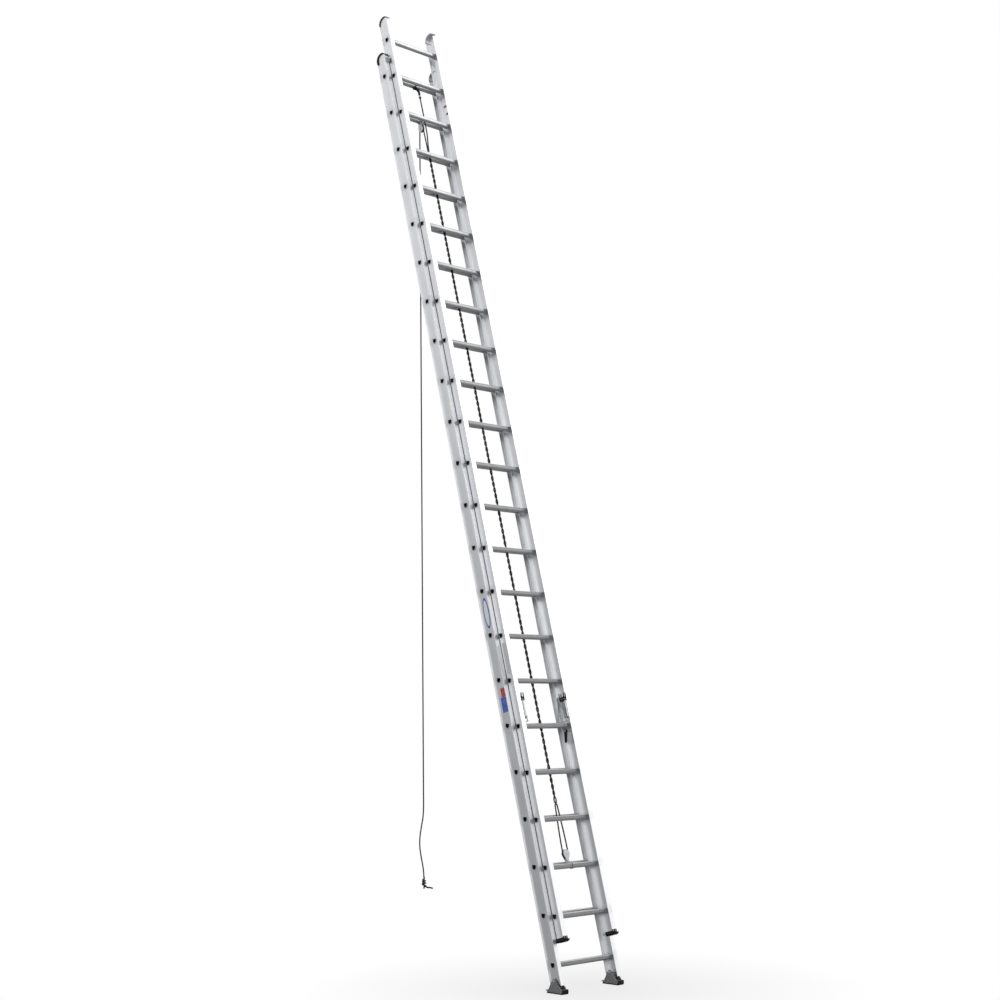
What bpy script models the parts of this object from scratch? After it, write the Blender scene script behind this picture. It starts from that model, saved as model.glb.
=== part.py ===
"""Two-section aluminium extension ladder, leaning as it is used, with its hoist rope.

World frame in metres, +Z up, floor at z = 0. The climber stands on the -Y side and faces +Y, the
wall side. Rungs run along X. The origin is on the floor, midway between the feet and plumb below
the bottom rung. Each section is drawn upright in the leaning frame: its z runs up the rails and its
y runs square to them towards the wall.
"""
import math

import bmesh
import bpy
from mathutils import Matrix, Vector

# Whole ladder
LEAN = math.radians(75.8)  # angle between the rails and the floor
RUNG_PITCH = 0.3048
RUNG_COUNT = 22
BOTTOM_RUNG_HEIGHT = 0.170  # bottom rung axis above the floor
HALF_SPAN = 0.275  # middle plane to a base rung's open end
TOP_OVERHANG = 0.190  # rail end above the top rung
BASE_BOTTOM_OVERHANG = 0.130
FLY_BOTTOM_OVERHANG = 0.1524
GAP = 0.0003  # between pieces that rest on each other

# Rails, I-sections standing with the web across the rungs' ends
RAIL_DEPTH = 0.0889
RAIL_WALL = 0.003
RAIL_LIP = 0.0065  # flange outside the web
RUNG_PROUD = 0.002  # rung end beyond the web's outer face
BASE_FRONT_FLANGE = 0.0336
BASE_REAR_FLANGE = 0.042
FLY_FLANGE = 0.038

# Fly section in front of the base section
FLY_FORWARD = 0.0645  # square to the rails, rung axis to rung axis
FLY_INSET = 0.0306  # each fly rung end inside the base rung's end
FLY_FIRST_RUNG = RUNG_PITCH - 0.020  # its bottom rung, up the rails

# D-shaped rungs, flat side up and level
RUNG_HALF_DEPTH = 0.017
RUNG_TOP = 0.015
RUNG_BOTTOM = 0.018
RUNG_CORNER = 0.004
RUNG_WALL = 0.0022

# Swivel shoes
SHOE_PIVOT_Y = -0.018
SHOE_PIVOT_Z = 0.075
SHOE_PIN_RADIUS = 0.005
SHOE_CHEEK = 0.004
SHOE_CLEAR = 0.0012
SOLE_THICKNESS = 0.012
SOLE_FRONT = -0.088
SOLE_REAR = 0.042
SPUR_TIP = 0.066
TOE_HEIGHT = 0.040
TOE_THICKNESS = 0.004
SHOE_CROWN = 0.016  # cheek's radius round the pin
CHEEK_FOOT = 0.002  # cheek's lower edge, inside the sole
CHEEK_MARGIN_ENDS = 0.004  # cheek short of the sole's ends
CHEEK_NOSE = 0.026  # start of the cheek's low nose, behind the sole's front
SPUR_INSET = 0.014  # spur short of the cheeks on each side
SPUR_ROOT = 0.006

# Rung locks on the fly rails
LOCK_RUNG = 4  # fly rung, counted from 0 at the bottom
LOCK_OUTER = 0.2065  # the casting's side nearest to the rail, from the middle plane
LOCK_THICKNESS = 0.014
LOCK_PIVOT_Y = -0.094
LOCK_PIVOT_Z = 0.0565  # above the fly rung's axis
LOCK_ARM_HALF = 0.0165
LOCK_ARM_LENGTH = 0.128
LOCK_LIP_REACH = 0.058
LOCK_LIP_THICKNESS = 0.013
LOCK_PIN_RADIUS = 0.007
FLIPPER_PIVOT_Y = -0.062
FLIPPER_PIVOT_Z = -0.036
FLIPPER_LENGTH = 0.078
FLIPPER_HALF = 0.011
FLIPPER_THICKNESS = 0.010
FLIPPER_PIN_RADIUS = 0.004

# Hoist rope and its blocks
ROPE_RADIUS = 0.00475
UPPER_SHEAVE_Y = -0.0072
UPPER_SHEAVE_DROP = 0.070  # below its rung's axis
UPPER_SHEAVE_RADIUS = 0.019  # to the rope's centre
LOWER_SHEAVE_Y = -0.033
LOWER_SHEAVE_RISE = 0.080  # above its rung's axis
LOWER_SHEAVE_RADIUS = 0.0245
SHEAVE_HALF_WIDTH = 0.0072
SHEAVE_RIM = 0.0012
GROOVE_CLEAR = 0.0006
SHEAVE_FLANGE = 0.005  # flange beyond the rope's centre
SHEAVE_BORE = 0.0045
AXLE_RADIUS = 0.0040
CHEEK_GAP = 0.0008
CHEEK = 0.0025
CHEEK_MARGIN = 0.004  # cheek beyond the rope's centre
BRIDGE_CLEAR = 0.0035  # sheave's rim to the bridge between the cheeks
UPPER_BRIDGE_HALF = 0.010
BLOCK_OVERLAP = 0.001  # how far joined pieces run into each other
AXLE_PROUD = 0.002
LOWER_CHEEK_FOOT = 0.030  # above its rung's axis
LOWER_CHEEK_TIP = 0.008
LINK_HALF = 0.006  # bar from the strap to the lower block
LINK_RISE = 0.004
STRAP = 0.003
STRAP_HALF_WIDTH = 0.008
RUNG_STRAP_CLEAR = 0.0006
STRAP_FRONT_EXTRA = 0.0024  # the level D reaches further forward in the leaning frame
UPPER_BLOCK_RUNG = 20
LOWER_BLOCK_RUNG = 1
DEAD_END_X = 0.022
DEAD_END_DROP = 0.050  # below the top base rung's axis
PLUMB_END = 0.008  # straight rope below the upper sheave, before the tail
TAIL_END_Z = 0.527
KNOT_HEIGHT = 0.075
KNOT_SWELL = 3.2  # knot's radius over the rope's
TAIL_POINTS = 78

ALUMINIUM = ((0.80, 0.81, 0.83, 1.0), 0.32, 1.0)
RUNG_ALUMINIUM = ((0.66, 0.67, 0.69, 1.0), 0.42, 1.0)
CAST_GREY = ((0.36, 0.37, 0.38, 1.0), 0.60, 0.6)
LOCK_SILVER = ((0.72, 0.73, 0.74, 1.0), 0.45, 0.9)
BLACK_PLASTIC = ((0.02, 0.02, 0.022, 1.0), 0.50, 0.0)
ZINC = ((0.70, 0.71, 0.72, 1.0), 0.35, 1.0)
SHEAVE_GREY = ((0.55, 0.55, 0.56, 1.0), 0.45, 0.3)
ROPE_BLACK = ((0.03, 0.03, 0.035, 1.0), 0.85, 0.0)


def clear_scene():
    for obj in list(bpy.data.objects):
        bpy.data.objects.remove(obj, do_unlink=True)


def finish_object(obj, look):
    """Give a piece its own material and, where its faces curve, smooth shading."""
    colour, roughness, metallic = look
    material = bpy.data.materials.new(obj.name)
    material.use_nodes = True
    shader = material.node_tree.nodes["Principled BSDF"]
    shader.inputs["Base Color"].default_value = colour
    shader.inputs["Roughness"].default_value = roughness
    shader.inputs["Metallic"].default_value = metallic
    obj.data.materials.clear()
    obj.data.materials.append(material)
    if obj.type == "MESH":
        obj.data.shade_smooth()
        obj.data.set_sharp_from_angle(angle=math.radians(35))
    return obj


def leaning_frame():
    frame = bpy.data.objects.new("leaning_frame", None)
    frame.location = (0, 0, BOTTOM_RUNG_HEIGHT)
    frame.rotation_euler = (LEAN - math.pi / 2, 0, 0)
    bpy.context.scene.collection.objects.link(frame)
    return frame


def frame_to_world():
    return Matrix.Translation((0, 0, BOTTOM_RUNG_HEIGHT)) @ Matrix.Rotation(LEAN - math.pi / 2, 4, "X")


def link_mesh(name, bm, parent=None, location=(0, 0, 0)):
    bmesh.ops.recalc_face_normals(bm, faces=bm.faces)
    mesh = bpy.data.meshes.new(name)
    bm.to_mesh(mesh)
    bm.free()
    obj = bpy.data.objects.new(name, mesh)
    obj.location = location
    obj.parent = parent
    bpy.context.scene.collection.objects.link(obj)
    return obj


def extrude(bm, outline, axis, low, high):
    """Add a prism. outline holds points of the two axes after `axis`, in X, Y, Z order."""
    others = [i for i in range(3) if i != axis]

    def place(point, depth):
        co = [0.0, 0.0, 0.0]
        co[others[0]], co[others[1]] = point
        co[axis] = depth
        return bm.verts.new(co)

    first = [place(p, low) for p in outline]
    last = [place(p, high) for p in outline]
    bm.faces.new(first)
    bm.faces.new(last)
    for i in range(len(outline)):
        j = (i + 1) % len(outline)
        bm.faces.new((first[i], first[j], last[j], last[i]))


def prism(name, outline, axis, low, high):
    bm = bmesh.new()
    extrude(bm, outline, axis, low, high)
    return link_mesh(name, bm)


def box(name, low, high):
    outline = ((low[0], low[1]), (high[0], low[1]), (high[0], high[1]), (low[0], high[1]))
    return prism(name, outline, 2, low[2], high[2])


def circle(centre, radius, count):
    return [
        (
            centre[0] + radius * math.cos(2 * math.pi * i / count),
            centre[1] + radius * math.sin(2 * math.pi * i / count),
        )
        for i in range(count)
    ]


def arc(centre, radius, start, stop, count):
    """Points on a circle from angle start to angle stop, in degrees, both ends included."""
    points = []
    for i in range(count + 1):
        angle = math.radians(start + (stop - start) * i / count)
        points.append((centre[0] + radius * math.cos(angle), centre[1] + radius * math.sin(angle)))
    return points


def combine(name, pieces, operation="UNION"):
    """Join or cut the first piece with the others, and bake the result into one mesh."""
    main = pieces[0]
    for piece in pieces[1:]:
        modifier = main.modifiers.new("boolean", "BOOLEAN")
        modifier.operation = operation
        modifier.solver = "EXACT"
        modifier.object = piece
    bpy.context.view_layer.update()
    shape = main.evaluated_get(bpy.context.evaluated_depsgraph_get())
    mesh = bpy.data.meshes.new_from_object(shape)
    for piece in pieces:
        bpy.data.objects.remove(piece, do_unlink=True)
    bm = bmesh.new()
    bm.from_mesh(mesh)
    bmesh.ops.dissolve_limit(bm, angle_limit=0.0005, verts=bm.verts, edges=bm.edges)
    bpy.data.meshes.remove(mesh)
    return link_mesh(name, bm)


def place_in(obj, parent, location):
    obj.parent = parent
    obj.location = location
    return obj


def d_outline(inset):
    """The rung's D, seen along X in world directions: (y, z) about the rung's axis."""
    half = RUNG_HALF_DEPTH - inset
    top = RUNG_TOP - inset
    corner = RUNG_CORNER - min(inset, RUNG_CORNER / 2)
    points = arc((half - corner, top - corner), corner, 0, 90, 2)
    points += arc((corner - half, top - corner), corner, 90, 180, 2)
    for i in range(7):
        angle = math.pi + math.pi * i / 6
        points.append((half * math.cos(angle), (RUNG_BOTTOM - inset) * math.sin(angle)))
    return points


def leaned(points, centre=(0.0, 0.0)):
    """Turn world (y, z) offsets into the leaning frame's (y, z)."""
    turn = math.pi / 2 - LEAN
    c, s = math.cos(turn), math.sin(turn)
    return [(centre[0] + c * y - s * z, centre[1] + s * y + c * z) for y, z in points]


def to_frame(y, z):
    """A world (y, z) point in the leaning frame."""
    return leaned([(y, z - BOTTOM_RUNG_HEIGHT)])[0]


def rung_mesh(half_length):
    outer = leaned(d_outline(0.0))
    inner = leaned(d_outline(RUNG_WALL))
    bm = bmesh.new()
    rings = []
    ends = (
        (outer, -half_length),
        (outer, half_length),
        (inner, half_length),
        (inner, -half_length),
    )
    for outline, x in ends:
        rings.append([bm.verts.new((x, y, z)) for y, z in outline])
    for a in range(4):
        ring, following = rings[a], rings[(a + 1) % 4]
        for i in range(len(ring)):
            j = (i + 1) % len(ring)
            bm.faces.new((ring[i], ring[j], following[j], following[i]))
    bmesh.ops.recalc_face_normals(bm, faces=bm.faces)
    mesh = bpy.data.meshes.new("rung")
    bm.to_mesh(mesh)
    bm.free()
    return mesh


def make_rungs(section, frame, first_z, y, half_length):
    for k in range(RUNG_COUNT):
        obj = bpy.data.objects.new(f"{section}_rung_{k + 1:02d}", rung_mesh(half_length))
        obj.parent = frame
        obj.location = (0, y, first_z + k * RUNG_PITCH)
        bpy.context.scene.collection.objects.link(obj)
        finish_object(obj, RUNG_ALUMINIUM)


def i_section(web_outer, lip, front_flange, rear_flange, side):
    """The rail's outline in (x, y). side is -1 on the climber's left and 1 on the right."""
    tip = web_outer + lip
    half = RAIL_DEPTH / 2
    inner_web = web_outer - RAIL_WALL
    flat = half - RAIL_WALL
    outline = [
        (tip, -half),
        (tip, -flat),
        (web_outer, -flat),
        (web_outer, flat),
        (tip, flat),
        (tip, half),
        (tip - rear_flange, half),
        (tip - rear_flange, flat),
        (inner_web, flat),
        (inner_web, -flat),
        (tip - front_flange, -flat),
        (tip - front_flange, -half),
    ]
    return [(side * x, y) for x, y in outline]


def make_rail(name, frame, side, rail, first_z, y, holes=()):
    """One rail with a D hole for each rung. holes adds round ones as (y, z, radius)."""
    web_outer, flanges, bottom_overhang = rail
    outline = [(x, yy + y) for x, yy in i_section(web_outer, RAIL_LIP, *flanges, side)]
    low = first_z - bottom_overhang
    high = first_z + (RUNG_COUNT - 1) * RUNG_PITCH + TOP_OVERHANG
    body = prism(name + "_body", outline, 2, low, high)
    web_middle = side * (web_outer - RAIL_WALL / 2)
    reach = RAIL_WALL
    cutter = bmesh.new()
    grown = [(py, pz) for py, pz in d_outline(-GAP)]
    for k in range(RUNG_COUNT):
        d_hole = leaned(grown, (y, first_z + k * RUNG_PITCH))
        extrude(cutter, d_hole, 0, web_middle - reach, web_middle + reach)
    for hole_y, hole_z, radius in holes:
        extrude(cutter, circle((hole_y, hole_z), radius, 16), 0, web_middle - reach, web_middle + reach)
    tool = link_mesh(name + "_cutter", cutter)
    obj = combine(name, [body, tool], "DIFFERENCE")
    place_in(obj, frame, (0, 0, 0))
    return finish_object(obj, ALUMINIUM)


def make_shoe(name, side):
    """Swivel shoe: two cheeks on a rubber-soled plate, pin, raised toe and a spur on the wall side."""
    outer_face = HALF_SPAN - RUNG_PROUD + RAIL_LIP + SHOE_CLEAR
    inner_face = HALF_SPAN - RUNG_PROUD + RAIL_LIP - BASE_REAR_FLANGE - SHOE_CLEAR
    outside = outer_face + SHOE_CHEEK
    inside = inner_face - SHOE_CHEEK
    y, z = SHOE_PIVOT_Y, SHOE_PIVOT_Z
    foot = SOLE_THICKNESS - z - CHEEK_FOOT
    nose = SOLE_THICKNESS - z + 0.008
    cheek = [(SOLE_REAR - y - CHEEK_MARGIN_ENDS, foot)]
    cheek += arc((0, 0), SHOE_CROWN, 20, 155, 6)
    cheek += [(SOLE_FRONT - y + CHEEK_NOSE, nose)]
    cheek += [(SOLE_FRONT - y + CHEEK_MARGIN_ENDS, nose - CHEEK_FOOT)]
    cheek += [(SOLE_FRONT - y + CHEEK_MARGIN_ENDS, foot)]

    def across(outline, a, b):
        return prism("piece", outline, 0, min(side * a, side * b), max(side * a, side * b))

    sole = [
        (SOLE_FRONT - y, -z),
        (SOLE_REAR - y, -z),
        (SOLE_REAR - y, SOLE_THICKNESS - z),
        (SOLE_FRONT - y + TOE_THICKNESS, SOLE_THICKNESS - z),
        (SOLE_FRONT - y + TOE_THICKNESS, TOE_HEIGHT - z),
        (SOLE_FRONT - y, TOE_HEIGHT - z),
    ]
    root = SOLE_REAR - y - SPUR_ROOT
    spur = [
        (root, 0.004 - z),
        (SPUR_TIP - y, 0.014 - z),
        (SPUR_TIP - y, 0.019 - z),
        (root, 0.026 - z),
    ]
    pieces = [
        across(sole, inside, outside),
        across(cheek, outer_face, outside),
        across(cheek, inside, inner_face),
        across(spur, inside + SPUR_INSET, outside - SPUR_INSET),
        across(circle((0, 0), SHOE_PIN_RADIUS, 16), inside + 0.001, outside - 0.001),
    ]
    obj = combine(name, pieces)
    obj.location = (0, y, z)
    return finish_object(obj, CAST_GREY)


def pin_to_web(side, inner_end, radius):
    """A pin along X from a lock piece to the inner face of the fly rail's web."""
    web_face = HALF_SPAN - FLY_INSET - RUNG_PROUD - RAIL_WALL - GAP
    low, high = sorted((side * inner_end, side * web_face))
    return prism("pin", circle((0, 0), radius, 16), 0, low, high)


def make_lock(name, frame, side, rung_z):
    """Hook arm that swings from beside the fly rail over the base rung behind it."""
    half = LOCK_ARM_HALF
    tip = LOCK_ARM_LENGTH
    hook = [(half, 0.0)]
    hook += arc((0, 0), half, 0, -180, 10)[1:-1]
    hook += [
        (-half, 0.0),
        (-half, tip - 0.010),
        (-half + 0.010, tip),
        (LOCK_LIP_REACH - 0.003, tip),
        (LOCK_LIP_REACH, tip - 0.003),
        (LOCK_LIP_REACH, tip - LOCK_LIP_THICKNESS),
        (half + 0.008, tip - LOCK_LIP_THICKNESS),
        (half, tip - LOCK_LIP_THICKNESS - 0.008),
    ]
    inner = LOCK_OUTER - LOCK_THICKNESS
    low, high = sorted((side * LOCK_OUTER, side * inner))
    plate = prism("piece", hook, 0, low, high)
    obj = combine(name, [plate, pin_to_web(side, inner - 0.004, LOCK_PIN_RADIUS)])
    place_in(obj, frame, (0, LOCK_PIVOT_Y, rung_z + LOCK_PIVOT_Z))
    return finish_object(obj, LOCK_SILVER)


def make_flipper(name, frame, side, rung_z):
    """Tongue that hangs plumb from its own pin below the lock's rung."""
    blade = arc((0, 0), FLIPPER_HALF, 0, 180, 6)
    blade += [(-FLIPPER_HALF * 0.72, -FLIPPER_LENGTH + 0.006)]
    blade += arc((0, -FLIPPER_LENGTH + 0.006), 0.006, 200, 340, 4)
    blade += [(FLIPPER_HALF * 0.72, -FLIPPER_LENGTH + 0.006)]
    outer = LOCK_OUTER - 0.002
    inner = outer - FLIPPER_THICKNESS
    low, high = sorted((side * outer, side * inner))
    plate = prism("piece", leaned(blade), 0, low, high)
    obj = combine(name, [plate, pin_to_web(side, inner - 0.002, FLIPPER_PIN_RADIUS)])
    place_in(obj, frame, (0, FLIPPER_PIVOT_Y, rung_z + FLIPPER_PIVOT_Z))
    return finish_object(obj, BLACK_PLASTIC)


def sheave_mesh(name, rope_radius, axis):
    """Grooved wheel turned about axis, with its bore open."""
    rim = rope_radius + SHEAVE_FLANGE
    w = SHEAVE_HALF_WIDTH
    profile = [(-w, SHEAVE_BORE), (w, SHEAVE_BORE), (w, rim), (w - SHEAVE_RIM, rim)]
    profile += [(x, rope_radius + r) for x, r in arc((0, 0), ROPE_RADIUS + GROOVE_CLEAR, 0, -180, 6)]
    profile += [(SHEAVE_RIM - w, rim), (-w, rim)]
    steps = 24
    bm = bmesh.new()
    rings = []
    for i in range(steps):
        a = 2 * math.pi * i / steps
        ring = []
        for depth, radius in profile:
            if axis == 0:
                ring.append(bm.verts.new((depth, radius * math.cos(a), radius * math.sin(a))))
            else:
                ring.append(bm.verts.new((radius * math.cos(a), depth, radius * math.sin(a))))
        rings.append(ring)
    for i in range(steps):
        ring, following = rings[i], rings[(i + 1) % steps]
        for k in range(len(profile)):
            m = (k + 1) % len(profile)
            bm.faces.new((ring[k], ring[m], following[m], following[k]))
    return link_mesh(name, bm)


def strap_ring(y, z):
    """A flat strap bent round a rung, in (y, z) of the leaning frame."""
    front = RUNG_HALF_DEPTH + STRAP_FRONT_EXTRA + RUNG_STRAP_CLEAR
    rear = RUNG_HALF_DEPTH + RUNG_STRAP_CLEAR
    half = RUNG_BOTTOM + RUNG_STRAP_CLEAR
    low = (-STRAP_HALF_WIDTH, y - front - STRAP, z - half - STRAP)
    high = (STRAP_HALF_WIDTH, y + rear + STRAP, z + half + STRAP)
    hole_low = (-2 * STRAP_HALF_WIDTH, y - front, z - half)
    hole_high = (2 * STRAP_HALF_WIDTH, y + rear, z + half)
    return combine("strap", [box("strap", low, high), box("hole", hole_low, hole_high)], "DIFFERENCE")


def make_upper_block(frame, rung_z):
    """Block strapped under a base rung, its sheave turning about X."""
    y = UPPER_SHEAVE_Y
    z = rung_z - UPPER_SHEAVE_DROP
    inner = SHEAVE_HALF_WIDTH + CHEEK_GAP
    reach = UPPER_SHEAVE_RADIUS + CHEEK_MARGIN
    top = rung_z - RUNG_BOTTOM - RUNG_STRAP_CLEAR - STRAP / 2
    cheek = arc((y, z), reach, 180, 360, 10) + [(y + reach * 0.6, top), (y - reach * 0.6, top)]
    bridge_z = z + UPPER_SHEAVE_RADIUS + SHEAVE_FLANGE + BRIDGE_CLEAR
    axle_end = inner + CHEEK + AXLE_PROUD
    bridge_end = inner + BLOCK_OVERLAP
    pieces = [
        prism("piece", cheek, 0, inner, inner + CHEEK),
        prism("piece", cheek, 0, -inner - CHEEK, -inner),
        box(
            "piece",
            (-bridge_end, y - UPPER_BRIDGE_HALF, bridge_z),
            (bridge_end, y + UPPER_BRIDGE_HALF, top),
        ),
        prism("piece", circle((y, z), AXLE_RADIUS, 16), 0, -axle_end, axle_end),
        strap_ring(0, rung_z),
    ]
    obj = combine("upper_block", pieces)
    place_in(obj, frame, (0, 0, 0))
    return finish_object(obj, ZINC)


def make_lower_block(frame, rung_z):
    """Block strapped on a fly rung, its sheave facing the climber."""
    y = LOWER_SHEAVE_Y
    z = rung_z + LOWER_SHEAVE_RISE
    inner = SHEAVE_HALF_WIDTH + CHEEK_GAP
    reach = LOWER_SHEAVE_RADIUS + CHEEK_MARGIN
    foot = rung_z + LOWER_CHEEK_FOOT
    cheek = arc((0, z), reach, 0, 180, 12) + [(-LOWER_CHEEK_TIP, foot), (LOWER_CHEEK_TIP, foot)]
    bridge_z = z - LOWER_SHEAVE_RADIUS - SHEAVE_FLANGE - BRIDGE_CLEAR
    axle_end = inner + CHEEK + AXLE_PROUD
    bridge_end = inner + BLOCK_OVERLAP
    strap_rear = -FLY_FORWARD + RUNG_HALF_DEPTH
    pieces = [
        prism("piece", cheek, 1, y + inner, y + inner + CHEEK),
        prism("piece", cheek, 1, y - inner - CHEEK, y - inner),
        box(
            "piece",
            (-LOWER_CHEEK_TIP, y - bridge_end, foot),
            (LOWER_CHEEK_TIP, y + bridge_end, bridge_z),
        ),
        prism("piece", circle((0, z), AXLE_RADIUS, 16), 1, y - axle_end, y + axle_end),
        box(
            "piece",
            (-LINK_HALF, strap_rear, rung_z + LINK_HALF),
            (LINK_HALF, y - LINK_HALF, foot + LINK_RISE),
        ),
        strap_ring(-FLY_FORWARD, rung_z),
    ]
    obj = combine("lower_block", pieces)
    place_in(obj, frame, (0, 0, 0))
    return finish_object(obj, ZINC)


def tube(name, points, radii, parent=None):
    curve = bpy.data.curves.new(name, "CURVE")
    curve.dimensions = "3D"
    curve.bevel_depth = ROPE_RADIUS
    curve.bevel_resolution = 2
    curve.use_fill_caps = True
    curve.resolution_u = 1
    spline = curve.splines.new("POLY")
    spline.points.add(len(points) - 1)
    for i, point in enumerate(points):
        spline.points[i].co = (*point, 1.0)
        spline.points[i].radius = radii[i]
    obj = bpy.data.objects.new(name, curve)
    obj.parent = parent
    bpy.context.scene.collection.objects.link(obj)
    return finish_object(obj, ROPE_BLACK)


def run_points(start, stop, count):
    return [start.lerp(stop, i / count) for i in range(count)]


def hoist_route(upper_rung_z, lower_rung_z, top_rung_z):
    """Dead end, down to the lower sheave, round it, up to the upper sheave and over it."""
    low_z = lower_rung_z + LOWER_SHEAVE_RISE
    high_z = upper_rung_z - UPPER_SHEAVE_DROP
    dead_end = Vector((DEAD_END_X, LOWER_SHEAVE_Y, top_rung_z - DEAD_END_DROP))
    right = Vector((LOWER_SHEAVE_RADIUS, LOWER_SHEAVE_Y, low_z))
    left = Vector((-LOWER_SHEAVE_RADIUS, LOWER_SHEAVE_Y, low_z))
    front = Vector((0, UPPER_SHEAVE_Y - UPPER_SHEAVE_RADIUS, high_z))
    points = run_points(dead_end, right, 18)
    for x, z in arc((0, low_z), LOWER_SHEAVE_RADIUS, 360, 180, 10)[:-1]:
        points.append(Vector((x, LOWER_SHEAVE_Y, z)))
    points += run_points(left, front, 18)
    last = math.degrees(math.pi / 2 - LEAN)
    for y, z in arc((UPPER_SHEAVE_Y, high_z), UPPER_SHEAVE_RADIUS, 180, last, 9):
        points.append(Vector((0, y, z)))
    plumb_y, plumb_z = leaned([(0, -PLUMB_END)])[0]
    points.append(points[-1] + Vector((0, plumb_y, plumb_z)))
    return points


def tail_route(start):
    """Plumb from the upper sheave, with one slack bend above the knot."""
    bottom = TAIL_END_Z
    points = []
    for i in range(TAIL_POINTS):
        z = start.z - GAP + (bottom - start.z + GAP) * i / (TAIL_POINTS - 1)
        above_knot = z - bottom - KNOT_HEIGHT
        sway = 0.0
        if 0.0 < above_knot < 0.48:
            sway = 0.020 * math.sin(math.pi * above_knot / 0.48) ** 2
        points.append(Vector((start.x - sway, start.y + sway, z)))
    return points


def tail_radii(points):
    radii = []
    for point in points:
        share = (point.z - TAIL_END_Z) / KNOT_HEIGHT
        swell = math.sin(math.pi * min(max(share, 0.0), 1.0)) ** 0.5
        radii.append(1.0 + (KNOT_SWELL - 1.0) * swell)
    return radii


def main():
    clear_scene()
    frame = leaning_frame()
    fly_y = -FLY_FORWARD
    base_web = HALF_SPAN - RUNG_PROUD
    fly_web = HALF_SPAN - FLY_INSET - RUNG_PROUD
    base_rail = (base_web, (BASE_FRONT_FLANGE, BASE_REAR_FLANGE), BASE_BOTTOM_OVERHANG)
    fly_rail = (fly_web, (FLY_FLANGE, FLY_FLANGE), FLY_BOTTOM_OVERHANG)
    pin_hole = (*to_frame(SHOE_PIVOT_Y, SHOE_PIVOT_Z), SHOE_PIN_RADIUS + GAP)
    lock_z = FLY_FIRST_RUNG + LOCK_RUNG * RUNG_PITCH
    for side, label in ((-1, "left"), (1, "right")):
        make_rail(f"base_rail_{label}", frame, side, base_rail, 0.0, 0.0, (pin_hole,))
        make_rail(f"fly_rail_{label}", frame, side, fly_rail, FLY_FIRST_RUNG, fly_y)
        make_shoe(f"shoe_{label}", side)
        make_lock(f"lock_{label}", frame, side, lock_z)
        make_flipper(f"flipper_{label}", frame, side, lock_z)
    make_rungs("base", frame, 0.0, 0.0, HALF_SPAN)
    make_rungs("fly", frame, FLY_FIRST_RUNG, fly_y, HALF_SPAN - FLY_INSET)

    upper_rung_z = UPPER_BLOCK_RUNG * RUNG_PITCH
    lower_rung_z = FLY_FIRST_RUNG + LOWER_BLOCK_RUNG * RUNG_PITCH
    top_rung_z = (RUNG_COUNT - 1) * RUNG_PITCH
    make_upper_block(frame, upper_rung_z)
    make_lower_block(frame, lower_rung_z)
    upper_sheave = sheave_mesh("upper_sheave", UPPER_SHEAVE_RADIUS, 0)
    place_in(upper_sheave, frame, (0, UPPER_SHEAVE_Y, upper_rung_z - UPPER_SHEAVE_DROP))
    finish_object(upper_sheave, SHEAVE_GREY)
    lower_sheave = sheave_mesh("lower_sheave", LOWER_SHEAVE_RADIUS, 1)
    place_in(lower_sheave, frame, (0, LOWER_SHEAVE_Y, lower_rung_z + LOWER_SHEAVE_RISE))
    finish_object(lower_sheave, SHEAVE_GREY)

    route = hoist_route(upper_rung_z, lower_rung_z, top_rung_z)
    tube("hoist_rope", route, [1.0] * len(route), frame)
    tail = tail_route(frame_to_world() @ route[-1])
    tube("rope_tail", tail, tail_radii(tail))


main()
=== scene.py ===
import math

import bmesh
import bpy
from mathutils import Matrix, Vector


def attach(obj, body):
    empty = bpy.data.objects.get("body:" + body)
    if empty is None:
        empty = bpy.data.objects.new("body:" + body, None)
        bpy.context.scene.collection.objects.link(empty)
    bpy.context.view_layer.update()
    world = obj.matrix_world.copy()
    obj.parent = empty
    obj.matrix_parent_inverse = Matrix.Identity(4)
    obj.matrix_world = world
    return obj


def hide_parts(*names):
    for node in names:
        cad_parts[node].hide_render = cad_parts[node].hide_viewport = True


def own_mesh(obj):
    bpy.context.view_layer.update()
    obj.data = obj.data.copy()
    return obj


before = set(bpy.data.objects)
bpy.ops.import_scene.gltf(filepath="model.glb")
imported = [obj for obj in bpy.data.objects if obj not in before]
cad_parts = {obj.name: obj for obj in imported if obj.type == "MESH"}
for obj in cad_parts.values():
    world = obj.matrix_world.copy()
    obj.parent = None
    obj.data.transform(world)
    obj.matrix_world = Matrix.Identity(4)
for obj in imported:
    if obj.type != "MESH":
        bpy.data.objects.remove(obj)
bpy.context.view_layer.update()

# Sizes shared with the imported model, in metres. The leaning frame has z up the rails and y square to
# them, towards the wall.
LEAN = math.radians(75.8)
TURN = math.pi / 2 - LEAN
PITCH = 0.3048
RUNGS = 22
BOTTOM_HEIGHT = 0.170
BASE_WEB = 0.273
FLY_WEB = 0.2424
BASE_END = 0.275
FLY_END = 0.2444
WALL = 0.003
LIP = 0.0065
HALF_DEPTH = 0.04445
FLY_Y = -0.0645
FLY_FIRST = 0.2848
BASE_LOW = -0.130
BASE_HIGH = 6.5908
FLY_LOW = 0.1324
FLY_HIGH = 6.8756
ROPE = 0.00475
FRONT = Vector((0.0, -math.sin(LEAN), math.cos(LEAN)))
TO_WORLD = Matrix.Translation((0, 0, BOTTOM_HEIGHT)) @ Matrix.Rotation(-TURN, 4, "X")
SIDES = ((-1, "left"), (1, "right"))
SKY_LOW, SKY_HIGH, SKY_FRONT = 0.14, 0.98, 0.20
EYE = (-8.1337, -7.5192, 1.6604)
YAW, PITCH_UP, ROLL = 0.7902575, 0.1304956, -0.0115439
LENS = 36.0 * 1.7052426


# ---------------------------------------------------------------- outlines and solids

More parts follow.
